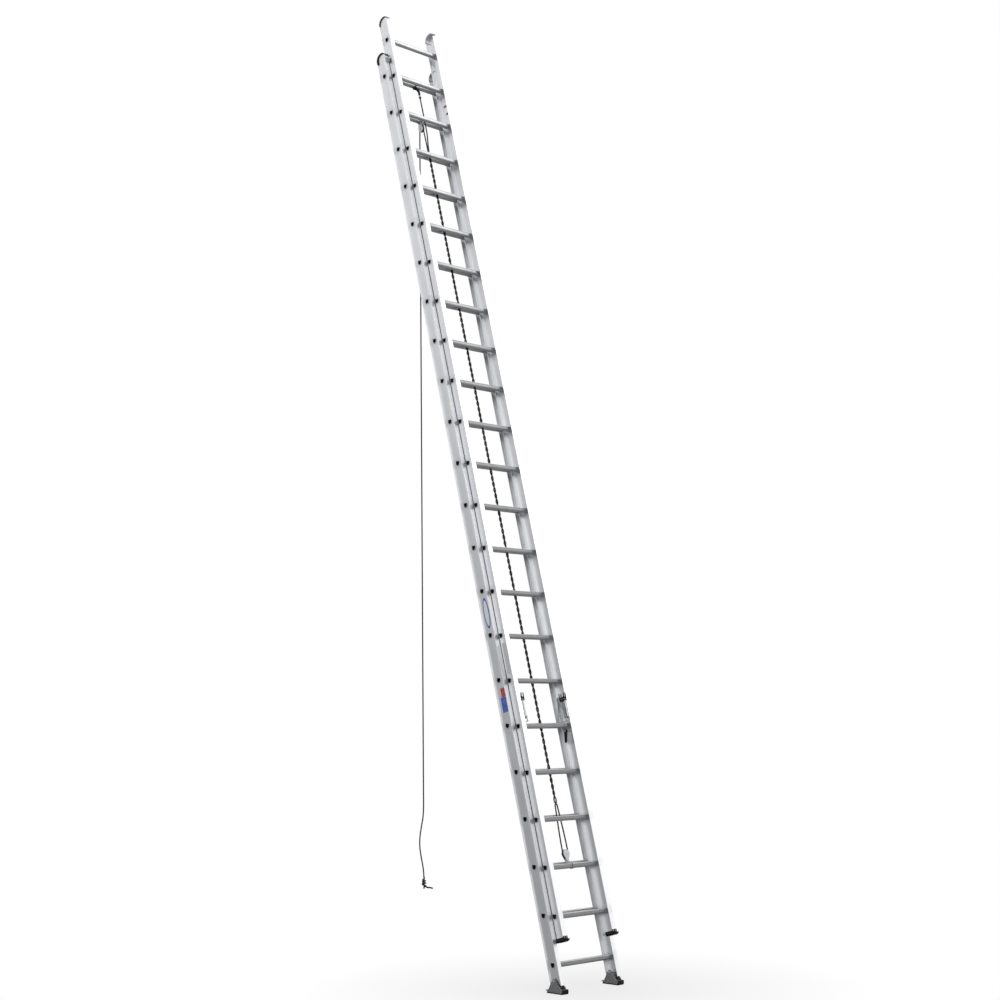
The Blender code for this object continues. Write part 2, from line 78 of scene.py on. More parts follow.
def arc(centre, radius, start, stop, count):
    """Points on a circle between two angles in degrees, both ends included."""
    points = []
    for i in range(count + 1):
        a = math.radians(start + (stop - start) * i / count)
        points.append((centre[0] + radius * math.cos(a), centre[1] + radius * math.sin(a)))
    return points


def circle(centre, radius, count):
    return arc(centre, radius, 0, 360, count)[:-1]


def box(x0, x1, y0, y1):
    """A rectangle's corners, from its first coordinate's and its second coordinate's ranges."""
    return [(x0, y0), (x1, y0), (x1, y1), (x0, y1)]


def rounded(points, radius, steps=3):
    """A polygon with its corners rounded. radius is one number, or one for each corner."""
    out = []
    count = len(points)
    for i in range(count):
        p = Vector(points[i])
        r = radius[i] if isinstance(radius, (list, tuple)) else radius
        before = Vector(points[i - 1]) - p
        after = Vector(points[(i + 1) % count]) - p
        if r <= 0 or before.length < 1e-7 or after.length < 1e-7:
            out.append(tuple(p))
            continue
        half = before.angle(after) / 2
        cut = min(r / max(math.tan(half), 0.05), 0.48 * before.length, 0.48 * after.length)
        a = p + before.normalized() * cut
        b = p + after.normalized() * cut
        for k in range(steps + 1):
            t = k / steps
            q = a * (1 - t) ** 2 + p * (2 * t * (1 - t)) + b * t * t
            out.append(tuple(q))
    return out


def leaned(points, centre=(0.0, 0.0)):
    """World (y, z) offsets in the leaning frame's (y, z)."""
    c, s = math.cos(TURN), math.sin(TURN)
    return [(centre[0] + c * y - s * z, centre[1] + s * y + c * z) for y, z in points]


def d_outline(grow, corners=4, bow=14):
    """The rung's D about its axis, as level (y, z), grown outwards by grow."""
    half = 0.017 + grow
    top = 0.015 + grow
    corner = max(0.004 + grow, 0.0015)
    points = arc((half - corner, top - corner), corner, 0, 90, corners)
    points += arc((corner - half, top - corner), corner, 90, 180, corners)
    for i in range(bow + 1):
        a = math.pi + math.pi * i / bow
        points.append((half * math.cos(a), (0.018 + grow) * math.sin(a)))
    return points


def span(side, a, b):
    """The range between two distances from the middle, low end first, on one side of it."""
    return sorted((side * a, side * b))


def bridge(bm, rings, closed=False, mark=0):
    """Joins each ring of vertices to the next, and the last to the first where closed is set."""
    pairs = list(zip(rings, rings[1:]))
    if closed:
        pairs.append((rings[-1], rings[0]))
    for ring, following in pairs:
        for i in range(len(ring)):
            j = (i + 1) % len(ring)
            bm.faces.new((ring[i], ring[j], following[j], following[i])).material_index = mark


def cap_rings(bm, rings, mark=0):
    """Closes both ends of a row of rings."""
    bm.faces.new(rings[0]).material_index = mark
    bm.faces.new(rings[-1]).material_index = mark


def add_sleeve(bm, outer, inner, low, high):
    """A hollow sleeve along X between two outlines in (y, z)."""
    ends = ((low, outer), (high, outer), (high, inner), (low, inner))
    rings = [[bm.verts.new((x, y, z)) for y, z in shape] for x, shape in ends]
    bridge(bm, rings, closed=True)


def add_prism(bm, outline, axis, low, high, mark=0):
    """A closed prism. outline gives the two other axes, in X, Y, Z order."""
    others = [i for i in range(3) if i != axis]

    def place(point, depth):
        co = [0.0, 0.0, 0.0]
        co[others[0]], co[others[1]] = point
        co[axis] = depth
        return bm.verts.new(co)

    rings = [[place(p, depth) for p in outline] for depth in (low, high)]
    cap_rings(bm, rings, mark)
    bridge(bm, rings, mark=mark)


def add_soft_prism(bm, outline, axis, low, high, edge=0.0008, mark=0):
    """A closed prism whose two end faces have a rounded rim."""
    others = [i for i in range(3) if i != axis]
    count = len(outline)
    normals = []
    area = sum(
        outline[i][0] * outline[(i + 1) % count][1] - outline[(i + 1) % count][0] * outline[i][1]
        for i in range(count)
    )
    turn = 1 if area > 0 else -1
    for i in range(count):
        a = Vector(outline[i - 1])
        b = Vector(outline[(i + 1) % count])
        d = (b - a).normalized() if (b - a).length > 1e-9 else Vector((0, 0))
        normals.append((-turn * d.y, turn * d.x))
    steps = ((0.0, 1.0), (0.3, 0.3), (1.0, 0.0))
    levels = [(low + edge * h, edge * inset) for h, inset in steps]
    levels += [(high - edge * h, edge * inset) for h, inset in reversed(steps)]
    rings = []
    for depth, inset in levels:
        ring = []
        for point, normal in zip(outline, normals):
            co = [0.0, 0.0, 0.0]
            co[others[0]] = point[0] + normal[0] * inset
            co[others[1]] = point[1] + normal[1] * inset
            co[axis] = depth
            ring.append(bm.verts.new(co))
        rings.append(ring)
    cap_rings(bm, rings, mark)
    bridge(bm, rings, mark=mark)


def add_lathe(bm, profile, axis, centre, steps=40, closed=False, mark=0):
    """Turns (depth, radius) points about an axis through centre. An open profile gets end discs."""
    others = [i for i in range(3) if i != axis]
    rings = []
    for i in range(steps):
        a = 2 * math.pi * i / steps
        ring = []
        for depth, radius in profile:
            co = list(centre)
            co[axis] += depth
            co[others[0]] += radius * math.cos(a)
            co[others[1]] += radius * math.sin(a)
            ring.append(bm.verts.new(co))
        rings.append(ring)
    last = len(profile) if closed else len(profile) - 1
    for i in range(steps):
        ring, following = rings[i], rings[(i + 1) % steps]
        for k in range(last):
            m = (k + 1) % len(profile)
            bm.faces.new((ring[k], ring[m], following[m], following[k])).material_index = mark
    if not closed:
        bm.faces.new([ring[0] for ring in rings]).material_index = mark
        bm.faces.new([ring[-1] for ring in rings]).material_index = mark


def add_bolt(bm, axis, centre, side, radius=0.0065, height=0.004, mark=0):
    """A hexagonal head with a washer, standing off in the direction side."""
    others = [i for i in range(3) if i != axis]
    washer = [(0.0, radius * 1.45), (side * 0.0008, radius * 1.5), (side * 0.0012, radius * 1.42)]
    add_lathe(bm, washer, axis, centre, 24, mark=mark)
    levels = ((0.0011, 1.0), (height * 0.82, 1.0), (height, 0.86))
    rings = []
    for depth, share in levels:
        ring = []
        for i in range(6):
            a = math.radians(60 * i + 15)
            co = list(centre)
            co[axis] += side * depth
            co[others[0]] += radius * share * math.cos(a)
            co[others[1]] += radius * share * math.sin(a)
            ring.append(bm.verts.new(co))
        rings.append(ring)
    cap_rings(bm, rings, mark)
    bridge(bm, rings, mark=mark)


def add_rivet(bm, axis, centre, side, radius=0.0032, height=0.0016, mark=0):
    dome = [(0.0, radius)]
    dome += [(side * height * math.sin(a), radius * math.cos(a)) for a in (0.35, 0.75, 1.15, 1.45)]
    add_lathe(bm, dome, axis, centre, 16, mark=mark)


def path_frames(points):
    """Tangent, side and lift at each point of a path, without twist."""
    frames = []
    side = None
    for i in range(len(points)):
        a = points[max(i - 1, 0)]
        b = points[min(i + 1, len(points) - 1)]
        t = (b - a).normalized()
        if side is None:
            side = t.orthogonal().normalized()
        side = (side - t * side.dot(t)).normalized()
        frames.append((t, side, t.cross(side)))
    return frames


def add_tube(bm, points, radius, sides=14, relief=0.0, braid=0.012, mark=0, cap=True):
    """A closed tube along points, with an optional braid relief, and UVs that run along it."""
    uv = bm.loops.layers.uv.verify()
    frames = path_frames(points)
    rings = []
    run = 0.0
    runs = []
    for k, (point, (t, side, lift)) in enumerate(zip(points, frames)):
        if k:
            run += (point - points[k - 1]).length
        runs.append(run)
        r = radius[k] if isinstance(radius, (list, tuple)) else radius
        ring = []
        for i in range(sides):
            a = 2 * math.pi * i / sides
            lay = 2 * math.pi * run / (braid * 2)
            bump = max(abs(math.cos(2 * a + lay)), abs(math.cos(2 * a - lay)))
            ring_r = r * (1.0 + relief * (bump - 0.8))
            ring.append(bm.verts.new(point + (side * math.cos(a) + lift * math.sin(a)) * ring_r))
        rings.append(ring)
    for k in range(len(rings) - 1):
        for i in range(sides):
            j = (i + 1) % sides
            face = bm.faces.new((rings[k][i], rings[k][j], rings[k + 1][j], rings[k + 1][i]))
            face.material_index = mark
            corners = ((i, k), (i + 1, k), (i + 1, k + 1), (i, k + 1))
            for loop, (u, v) in zip(face.loops, corners):
                loop[uv].uv = (u / sides, runs[v])
    if cap:
        cap_rings(bm, rings, mark)
    return run


def smooth_path(points, step):
    """Points every step or so on a Catmull-Rom curve through the given ones."""
    out = []
    count = len(points)
    for i in range(count - 1):
        p0 = points[max(i - 1, 0)]
        p1, p2 = points[i], points[i + 1]
        p3 = points[min(i + 2, count - 1)]
        pieces = max(1, int(round((p2 - p1).length / step)))
        for k in range(pieces):
            t = k / pieces
            out.append(
                0.5
                * (
                    2 * p1
                    + (p2 - p0) * t
                    + (2 * p0 - 5 * p1 + 4 * p2 - p3) * t * t
                    + (3 * p1 - p0 - 3 * p2 + p3) * t ** 3
                )
            )
    out.append(points[-1].copy())
    return out


def to_piece(name, bm, body, materials, leaning=True, angle=38, weld=True, replaces=()):
    """Makes the object, puts it in the row frame and lets it ride on its body."""
    bmesh.ops.recalc_face_normals(bm, faces=bm.faces)
    if leaning:
        bmesh.ops.transform(bm, matrix=TO_WORLD, verts=bm.verts)
    mesh = bpy.data.meshes.new(name)
    bm.to_mesh(mesh)
    bm.free()
    mesh.shade_smooth()
    mesh.set_sharp_from_angle(angle=math.radians(angle))
    for material in materials:
        mesh.materials.append(material)
    obj = bpy.data.objects.new(name, mesh)
    bpy.context.scene.collection.objects.link(obj)
    if weld:
        weighted = obj.modifiers.new("normals", "WEIGHTED_NORMAL")
        weighted.keep_sharp = True
    if body:
        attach(obj, body)
    if replaces:
        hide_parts(*replaces)
    return obj


# ---------------------------------------------------------------- materials

class Look:
    """A small builder for a procedural material."""

    def __init__(self, name, colour, roughness, metallic=0.0, **constants):
        self.material = bpy.data.materials.new(name)
        self.material.use_nodes = True
        self.tree = self.material.node_tree
        self.shader = self.tree.nodes["Principled BSDF"]
        self.colour = colour
        self.roughness = roughness
        self.shader.inputs["Base Color"].default_value = (*colour, 1.0)
        self.shader.inputs["Roughness"].default_value = roughness
        self.shader.inputs["Metallic"].default_value = metallic
        for key, value in constants.items():
            self.shader.inputs[key.replace("_", " ")].default_value = value
        self.height = None

    def node(self, kind, **settings):
        made = self.tree.nodes.new(kind)
        for key, value in settings.items():
            setattr(made, key, value)
        return made

    def link(self, a, b):
        self.tree.links.new(a, b)

    def coordinates(self, scale=(1, 1, 1), leaning=False, uv=False):
        """Object coordinates, turned so that z runs up the rails where leaning is set."""
        source = self.node("ShaderNodeTexCoord")
        out = source.outputs["UV" if uv else "Object"]
        if leaning:
            turn = self.node("ShaderNodeMapping")
            turn.inputs["Rotation"].default_value = (TURN, 0, 0)
            self.link(out, turn.inputs["Vector"])
            out = turn.outputs["Vector"]
        stretch = self.node("ShaderNodeMapping")
        stretch.inputs["Scale"].default_value = scale
        self.link(out, stretch.inputs["Vector"])
        return stretch.outputs["Vector"]

    def noise(self, scale, vector, detail=4.0, rough=0.55, distortion=0.0):
        made = self.node("ShaderNodeTexNoise")
        made.inputs["Scale"].default_value = scale
        made.inputs["Detail"].default_value = detail
        made.inputs["Roughness"].default_value = rough
        made.inputs["Distortion"].default_value = distortion
        self.link(vector, made.inputs["Vector"])
        return made.outputs["Fac"]

    def cells(self, scale, vector, feature="F1", output="Distance"):
        made = self.node("ShaderNodeTexVoronoi", feature=feature)
        made.inputs["Scale"].default_value = scale
        self.link(vector, made.inputs["Vector"])
        return made.outputs[output]

    def ramp(self, value, low, high, to_low=0.0, to_high=1.0):
        made = self.node("ShaderNodeMapRange")
        made.inputs["From Min"].default_value = low
        made.inputs["From Max"].default_value = high
        made.inputs["To Min"].default_value = to_low
        made.inputs["To Max"].default_value = to_high
        self.link(value, made.inputs["Value"])
        return made.outputs["Result"]

    def math(self, kind, a, b=None):
        made = self.node("ShaderNodeMath", operation=kind)
        for k, value in enumerate((a, b)):
            if value is None:
                continue
            if isinstance(value, (int, float)):
                made.inputs[k].default_value = value
            else:
                self.link(value, made.inputs[k])
        return made.outputs[0]

    def tint(self, factor, colour):
        """Mixes the running colour towards colour by factor."""
        mix = self.node("ShaderNodeMix", data_type="RGBA")
        socket = self.shader.inputs["Base Color"]
        if socket.is_linked:
            self.link(socket.links[0].from_socket, mix.inputs[6])
        else:
            mix.inputs[6].default_value = (*self.colour, 1.0)
        mix.inputs[7].default_value = (*colour, 1.0)
        self.link(factor, mix.inputs[0])
        self.link(mix.outputs[2], socket)
        return self

    def rough(self, value):
        """Adds value to the running roughness."""
        socket = self.shader.inputs["Roughness"]
        if socket.is_linked:
            total = self.math("ADD", socket.links[0].from_socket, value)
        else:
            total = self.math("ADD", value, self.roughness)
        clamp = self.node("ShaderNodeClamp")
        clamp.inputs["Min"].default_value = 0.08
        clamp.inputs["Max"].default_value = 1.0
        self.link(total, clamp.inputs["Value"])
        self.link(clamp.outputs["Result"], socket)
        return self

    def bump(self, value, strength, distance):
        made = self.node("ShaderNodeBump")
        made.inputs["Strength"].default_value = strength
        made.inputs["Distance"].default_value = distance
        self.link(value, made.inputs["Height"])
        socket = self.shader.inputs["Normal"]
        if socket.is_linked:
            self.link(socket.links[0].from_socket, made.inputs["Normal"])
        self.link(made.outputs["Normal"], socket)
        return self


def rail_look(name, colour, first_z, gap_shade=None):
    look = Look(name, colour, 0.30, 1.0)
    streaks = look.noise(6.0, look.coordinates((60, 60, 0.55), leaning=True), 6.0, 0.65)
    fine = look.noise(9.0, look.coordinates((160, 160, 2.4), leaning=True), 5.0, 0.7)
    cloud = look.noise(2.6, look.coordinates((4.0, 4.0, 1.2), leaning=True), 4.0, 0.6, 0.4)
    scratch = look.noise(5.0, look.coordinates((70, 90, 7.0), leaning=True), 2.0, 0.5, 1.4)
    oxide = look.cells(46.0, look.coordinates((1, 1, 0.7), leaning=True))
    look.tint(look.ramp(streaks, 0.38, 0.72, 0.0, 0.30), [c * 0.80 for c in colour])
    look.tint(look.ramp(cloud, 0.45, 0.75, 0.0, 0.22), [c * 0.86 for c in colour])
    look.tint(look.ramp(fine, 0.58, 0.80, 0.0, 0.35), (0.95, 0.955, 0.965))
    look.tint(look.ramp(scratch, 0.66, 0.69, 0.0, 0.35), [c * 0.62 for c in colour])
    # Painted reflection: the web is painted darker in its middle and lighter near its flanges, where the
    # bright flanges show in it
    z = look.node("ShaderNodeSeparateXYZ")
    look.link(look.coordinates((1, 1, 1), leaning=True), z.inputs[0])
    y_middle = -math.sin(TURN) * BOTTOM_HEIGHT + (0.0 if first_z == 0.0 else FLY_Y)
    off = look.math("ABSOLUTE", look.math("SUBTRACT", z.outputs["Y"], y_middle))
    look.tint(look.ramp(off, 0.012, 0.034, 0.55, 0.0), [c * 0.84 for c in colour])
    look.tint(look.ramp(off, 0.028, 0.042, 0.0, 0.75), (0.97, 0.975, 0.985))
    # Rubbed oxide round each rung joint
    shift = math.cos(TURN) * BOTTOM_HEIGHT + first_z
    wave = look.math("PINGPONG", look.math("SUBTRACT", z.outputs["Z"], shift), PITCH / 2)
    near = look.ramp(wave, 0.016, 0.042, 1.0, 0.0)
    broken = look.math("MULTIPLY", near, look.ramp(cloud, 0.35, 0.65, 0.15, 0.75))
    look.tint(look.math("MULTIPLY", broken, 0.35), [c * 0.58 for c in colour])
    if gap_shade:
        # Painted shade: a dark band where this web runs inside the other section's rail, standing in for
        # the shadow in the gap between them
        x_from, y_from = gap_shade
        covered = look.ramp(look.math("SUBTRACT", z.outputs["Z"], math.cos(TURN) * BOTTOM_HEIGHT),
                            BASE_HIGH - 0.030, BASE_HIGH - 0.004, 1.0, 0.0)
        outside = look.ramp(look.math("ABSOLUTE", z.outputs["X"]), x_from, x_from + 0.0004)
        behind = look.ramp(z.outputs["Y"], y_from - 0.002, y_from + 0.002)
        both = look.math("MULTIPLY", look.math("MULTIPLY", outside, behind), covered)
        uneven = look.ramp(streaks, 0.3, 0.6, 0.75, 1.0)
        look.tint(look.math("MULTIPLY", both, uneven), (0.20, 0.20, 0.21))
    look.rough(look.ramp(streaks, 0.3, 0.7, -0.05, 0.10))
    look.rough(look.ramp(cloud, 0.3, 0.7, -0.03, 0.07))
    look.rough(look.math("MULTIPLY", broken, 0.14))
    look.rough(look.ramp(oxide, 0.0, 0.02, 0.06, 0.0))
    look.bump(fine, 0.10, 0.0003)
    look.bump(streaks, 0.12, 0.0008)
    return look.material


def rung_look():
    colour = (0.56, 0.565, 0.575)
    look = Look("rung_aluminium", colour, 0.40, 1.0)
    along = look.noise(8.0, look.coordinates((1.6, 70, 70)), 5.0, 0.65)
    cloud = look.noise(14.0, look.coordinates((1.2, 1, 1)), 5.0, 0.6)
    specks = look.cells(120.0, look.coordinates((0.8, 1, 1)))
    scuff = look.noise(7.0, look.coordinates((26, 30, 30)), 3.0, 0.5, 1.2)
    look.tint(look.ramp(along, 0.36, 0.70, 0.0, 0.45), [c * 0.74 for c in colour])
    look.tint(look.ramp(cloud, 0.5, 0.8, 0.0, 0.30), [c * 0.80 for c in colour])
    # Feet polish the middle of every tread
    x = look.node("ShaderNodeSeparateXYZ")
    look.link(look.coordinates(), x.inputs[0])
    middle = look.ramp(look.math("ABSOLUTE", x.outputs["X"]), 0.05, 0.19, 1.0, 0.0)
    look.tint(look.math("MULTIPLY", middle, look.ramp(cloud, 0.35, 0.6, 0.1, 0.5)), (0.68, 0.685, 0.69))
    look.tint(look.ramp(scuff, 0.66, 0.70, 0.0, 0.40), [c * 0.55 for c in colour])
    look.rough(look.ramp(along, 0.3, 0.7, -0.06, 0.10))
    look.rough(look.math("MULTIPLY", middle, -0.07))
    look.rough(look.ramp(specks, 0.0, 0.08, 0.08, 0.0))
    look.bump(along, 0.16, 0.0004)
    look.bump(specks, 0.05, 0.0003)
    return look.material


def cast_look(name, colour, roughness, metallic, grain=900.0, depth=0.0007):
    look = Look(name, colour, roughness, metallic)
    plain = look.coordinates()
    pebble = look.noise(grain, plain, 3.0, 0.6)
    pits = look.cells(grain * 0.55, plain)
    cloud = look.noise(42.0, plain, 5.0, 0.6)
    rub = look.noise(150.0, plain, 4.0, 0.65)
    look.tint(look.ramp(cloud, 0.35, 0.7, 0.0, 0.5), [c * 0.66 for c in colour])
    look.tint(look.ramp(pits, 0.0, 0.25, 0.45, 0.0), [c * 0.55 for c in colour])
    look.tint(look.ramp(rub, 0.60, 0.74, 0.0, 0.55), [min(1.0, c * 1.45 + 0.05) for c in colour])
    look.rough(look.ramp(cloud, 0.3, 0.7, -0.08, 0.10))
    look.rough(look.ramp(rub, 0.55, 0.75, 0.0, -0.14))
    look.bump(pebble, 0.45, depth)
    look.bump(pits, 0.25, depth)
    return look.material


def plastic_look(name, colour, roughness, grain=1400.0, dust=0.12):
    look = Look(name, colour, roughness, 0.0, Specular_IOR_Level=0.22)
    plain = look.coordinates()
    skin = look.noise(grain, plain, 2.0, 0.6)
    cloud = look.noise(36.0, plain, 5.0, 0.6)
    scuff = look.noise(75.0, look.coordinates((1, 1, 4.0)), 4.0, 0.6, 0.8)
    look.tint(look.ramp(cloud, 0.40, 0.72, 0.0, dust), (0.075, 0.073, 0.071))
    look.tint(look.ramp(scuff, 0.63, 0.70, 0.0, 0.28), (0.10, 0.10, 0.105))
    look.rough(look.ramp(cloud, 0.35, 0.7, -0.08, 0.14))
    look.rough(look.ramp(scuff, 0.6, 0.7, 0.0, 0.15))
    look.bump(skin, 0.30, 0.0003)
    return look.material


def zinc_look(name, colour, roughness):
    look = Look(name, colour, roughness, 1.0)
    plain = look.coordinates()
    spangle = look.cells(260.0, plain, output="Color")
    grey = look.node("ShaderNodeSeparateXYZ")
    look.link(spangle, grey.inputs[0])
    cloud = look.noise(60.0, plain, 5.0, 0.6)
    fine = look.noise(900.0, plain, 3.0, 0.6)
    look.tint(look.ramp(grey.outputs[0], 0.0, 1.0, 0.0, 0.32), [c * 0.72 for c in colour])
    look.tint(look.ramp(cloud, 0.55, 0.75, 0.0, 0.45), [c * 0.55 for c in colour])
    look.rough(look.ramp(grey.outputs[1], 0.0, 1.0, -0.05, 0.10))
    look.rough(look.ramp(cloud, 0.4, 0.7, -0.03, 0.12))
    look.bump(fine, 0.12, 0.0002)
    return look.material


def rope_look():
    colour = (0.008, 0.008, 0.009)
    look = Look("braided_rope", colour, 0.86, 0.0, Sheen_Weight=0.06, Sheen_Roughness=0.5)
    source = look.node("ShaderNodeTexCoord")
    parts = look.node("ShaderNodeSeparateXYZ")
    look.link(source.outputs["UV"], parts.inputs[0])
    around = look.math("MULTIPLY", parts.outputs["X"], 2 * math.pi * 6)
    along = look.math("MULTIPLY", parts.outputs["Y"], 2 * math.pi / 0.011)
    first = look.math("ABSOLUTE", look.math("SINE", look.math("ADD", around, along)))
    second = look.math("ABSOLUTE", look.math("SINE", look.math("SUBTRACT", around, along)))
    weave = look.math("MAXIMUM", first, second)
    cross = look.math("MINIMUM", first, second)
    fibre = look.noise(1.0, look.coordinates((46, 2600, 1), uv=True), 3.0, 0.6)
    dust = look.noise(40.0, look.coordinates(), 4.0, 0.6)
    look.tint(look.ramp(weave, 0.75, 1.0, 0.0, 0.45), (0.024, 0.024, 0.027))
    look.tint(look.math("MULTIPLY", look.ramp(cross, 0.86, 0.97), 0.50), (0.12, 0.12, 0.125))
    look.tint(look.ramp(dust, 0.52, 0.80, 0.0, 0.14), (0.07, 0.068, 0.065))
    look.rough(look.ramp(fibre, 0.3, 0.7, -0.06, 0.10))
    look.bump(weave, 0.75, 0.0009)
    look.bump(fibre, 0.35, 0.0003)
    return look.material


def label_look(name, colour):
    look = Look(name, colour, 0.34, 0.0)
    plain = look.coordinates((1, 1, 1), leaning=True)
    fade = look.noise(22.0, plain, 5.0, 0.65)
    chips = look.noise(130.0, plain, 5.0, 0.7)
    scratch = look.noise(40.0, look.coordinates((1, 1, 7), leaning=True), 3.0, 0.5, 1.2)
    look.tint(look.ramp(fade, 0.40, 0.75, 0.0, 0.30), [c * 0.5 + 0.40 for c in colour])
    look.tint(look.ramp(chips, 0.70, 0.74, 0.0, 0.85), (0.72, 0.73, 0.74))
    look.tint(look.ramp(scratch, 0.69, 0.71, 0.0, 0.45), (0.70, 0.70, 0.71))
    look.rough(look.ramp(fade, 0.35, 0.7, -0.05, 0.20))
    look.bump(chips, 0.12, 0.0002)
    return look.material


BASE_METAL = rail_look("base_rail_aluminium", (0.83, 0.84, 0.855), 0.0)
# Where the painted shade of the gap beside the base rail's flange starts on the fly web's outer face
GAP_SHADE_Y = FLY_Y + 0.0160 - math.sin(TURN) * BOTTOM_HEIGHT
FLY_METAL = rail_look("fly_rail_aluminium", (0.86, 0.87, 0.885), FLY_FIRST, (FLY_WEB - 0.0008, GAP_SHADE_Y))
RUNG_METAL = rung_look()
# Painted shade: the hollow rung's inside is coloured near black, standing in for the shade within the
# tube
PAINTED_RUNG_SHADE = cast_look("painted_shade_rung_inside", (0.030, 0.030, 0.032), 0.75, 0.2, 500.0, 0.0003)
SHOE_METAL = cast_look("shoe_casting", (0.27, 0.275, 0.28), 0.50, 0.75, 800.0, 0.0008)
LOCK_METAL = cast_look("lock_casting", (0.56, 0.57, 0.58), 0.40, 0.95, 900.0, 0.0005)
SHEAVE_METAL = cast_look("sheave_casting", (0.34, 0.34, 0.35), 0.42, 0.85, 1200.0, 0.0003)
RUBBER = plastic_look("sole_rubber", (0.010, 0.010, 0.011), 0.88, 700.0, 0.30)
PLASTIC = plastic_look("moulded_plastic", (0.009, 0.009, 0.010), 0.45)
ZINC = zinc_look("zinc_plate", (0.54, 0.55, 0.56), 0.32)
BOLT_STEEL = zinc_look("bolt_steel", (0.50, 0.50, 0.51), 0.34)
ROPE_LOOK = rope_look()
LABEL_BLUE = label_look("label_blue", (0.028, 0.085, 0.48))
LABEL_RED = label_look("label_red", (0.42, 0.035, 0.03))
LABEL_GREY = label_look("label_grey", (0.56, 0.57, 0.59))
LABEL_PALE = label_look("label_pale", (0.80, 0.80, 0.80))


# ---------------------------------------------------------------- rails

def rail_outline(side, web, front_flange, rear_flange, y):
    """The rail's section: lips with a thicker bead, rounded tips, fillets and shallow flange ribs."""
    tip = web + LIP
    half = HALF_DEPTH
    flat = half - WALL
    inner = web - WALL
    bead = 0.0011
    front = tip - front_flange
    rear = tip - rear_flange
    corners = [(tip, -half, 0.0010), (tip, -flat + bead, 0.0010), (tip - 0.0026, -flat + bead, 0.0006)]
    corners += [(tip - 0.0036, -flat, 0.0005), (web, -flat, 0.0014), (web, flat, 0.0014)]
    corners += [(tip - 0.0036, flat, 0.0005), (tip - 0.0026, flat - bead, 0.0006)]
    corners += [(tip, flat - bead, 0.0010), (tip, half, 0.0010)]
    for share in (0.30, 0.50, 0.70):
        x = tip - rear_flange * share
        corners += [(x + 0.0008, half, 0), (x, half - 0.0004, 0), (x - 0.0008, half, 0)]
    corners += [(rear, half, 0.0010), (rear, flat - bead, 0.0010), (rear + 0.0026, flat - bead, 0.0006)]
    corners += [(rear + 0.0036, flat, 0.0005), (inner, flat, 0.0020), (inner, -flat, 0.0020)]
    corners += [(front + 0.0036, -flat, 0.0005), (front + 0.0026, -flat + bead, 0.0006)]
    corners += [(front, -flat + bead, 0.0010), (front, -half, 0.0010)]
    for share in (0.70, 0.50, 0.30):
        x = tip - front_flange * share
        corners += [(x - 0.0008, -half, 0), (x, -half + 0.0004, 0), (x + 0.0008, -half, 0)]
    outline = rounded([(cx, cy) for cx, cy, _ in corners], [r for _, _, r in corners], 2)
    return [(side * cx, cy + y) for cx, cy in outline]


def crown_curve(y, top, inset=0.0, steps=12):
    """The rail's rounded top end in (y, z): low on the wall side, over and down at the front."""
    rear = HALF_DEPTH - inset
    crest = top - 0.002 - inset
    points = []
    for i in range(steps + 1):
        a = math.radians(90 * i / steps)
        points.append((y - 0.006 + (rear + 0.006) * math.cos(a), crest - 0.050 + 0.050 * math.sin(a)))
    for i in range(1, steps + 1):
        a = math.radians(90 + 90 * i / steps)
        reach = HALF_DEPTH - 0.006 - inset
        points.append((y - 0.006 + reach * math.cos(a), crest - 0.030 + 0.030 * math.sin(a)))
    return points


def make_rail(section, side, label):
    base = section == "base"
    web = BASE_WEB if base else FLY_WEB
    flanges = (0.0336, 0.042) if base else (0.038, 0.038)
    y = 0.0 if base else FLY_Y
    first = 0.0 if base else FLY_FIRST
    low, high = (BASE_LOW, BASE_HIGH) if base else (FLY_LOW, FLY_HIGH)
    bm = bmesh.new()
    add_prism(bm, rail_outline(side, web, *flanges, y), 2, low, high - 0.001)
    metal = BASE_METAL if base else FLY_METAL
    obj = to_piece(
        f"{section}_rail_{label}_extrusion", bm, None, (metal,), leaning=False, weld=False
    )
    cutter = bmesh.new()
    middle = side * (web - WALL / 2)
    for k in range(RUNGS):
        hole = leaned(d_outline(-0.0006, 2, 8), (y, first + k * PITCH))
        add_prism(cutter, hole, 0, middle - 0.0032, middle + 0.0032)
    if base:
        pivot = leaned([(-0.018, 0.075 - BOTTOM_HEIGHT)])[0]
        add_prism(cutter, circle(pivot, 0.0053, 20), 0, middle - 0.0032, middle + 0.0032)
    over = crown_curve(y, high, 0.004)
    wide = [(y + 0.08, high - 0.060)] + [(y + HALF_DEPTH + 0.004, high - 0.056)] + over
    wide += [(y - HALF_DEPTH - 0.004, high - 0.037), (y - 0.08, high - 0.037)]
    wide += [(y - 0.08, high + 0.03), (y + 0.08, high + 0.03)]
    sides = span(side, web - 0.06, web + 0.03)
    add_prism(cutter, wide, 0, *sides)
    tool = to_piece("rail_cutter", cutter, None, (), leaning=False, weld=False)
    cut = obj.modifiers.new("cut", "BOOLEAN")
    cut.operation = "DIFFERENCE"
    cut.solver = "EXACT"
    cut.object = tool
    bpy.context.view_layer.update()
    shape = obj.evaluated_get(bpy.context.evaluated_depsgraph_get())
    mesh = bpy.data.meshes.new_from_object(shape)
    obj.modifiers.clear()
    obj.data = mesh
    bpy.data.objects.remove(tool, do_unlink=True)
    mesh.transform(TO_WORLD)
    mesh.materials.clear()
    mesh.materials.append(metal)
    mesh.shade_smooth()
    mesh.set_sharp_from_angle(angle=math.radians(38))
    weighted = obj.modifiers.new("normals", "WEIGHTED_NORMAL")
    weighted.keep_sharp = True
    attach(obj, section)
    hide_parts(f"{section}_rail_{label}")
    return obj


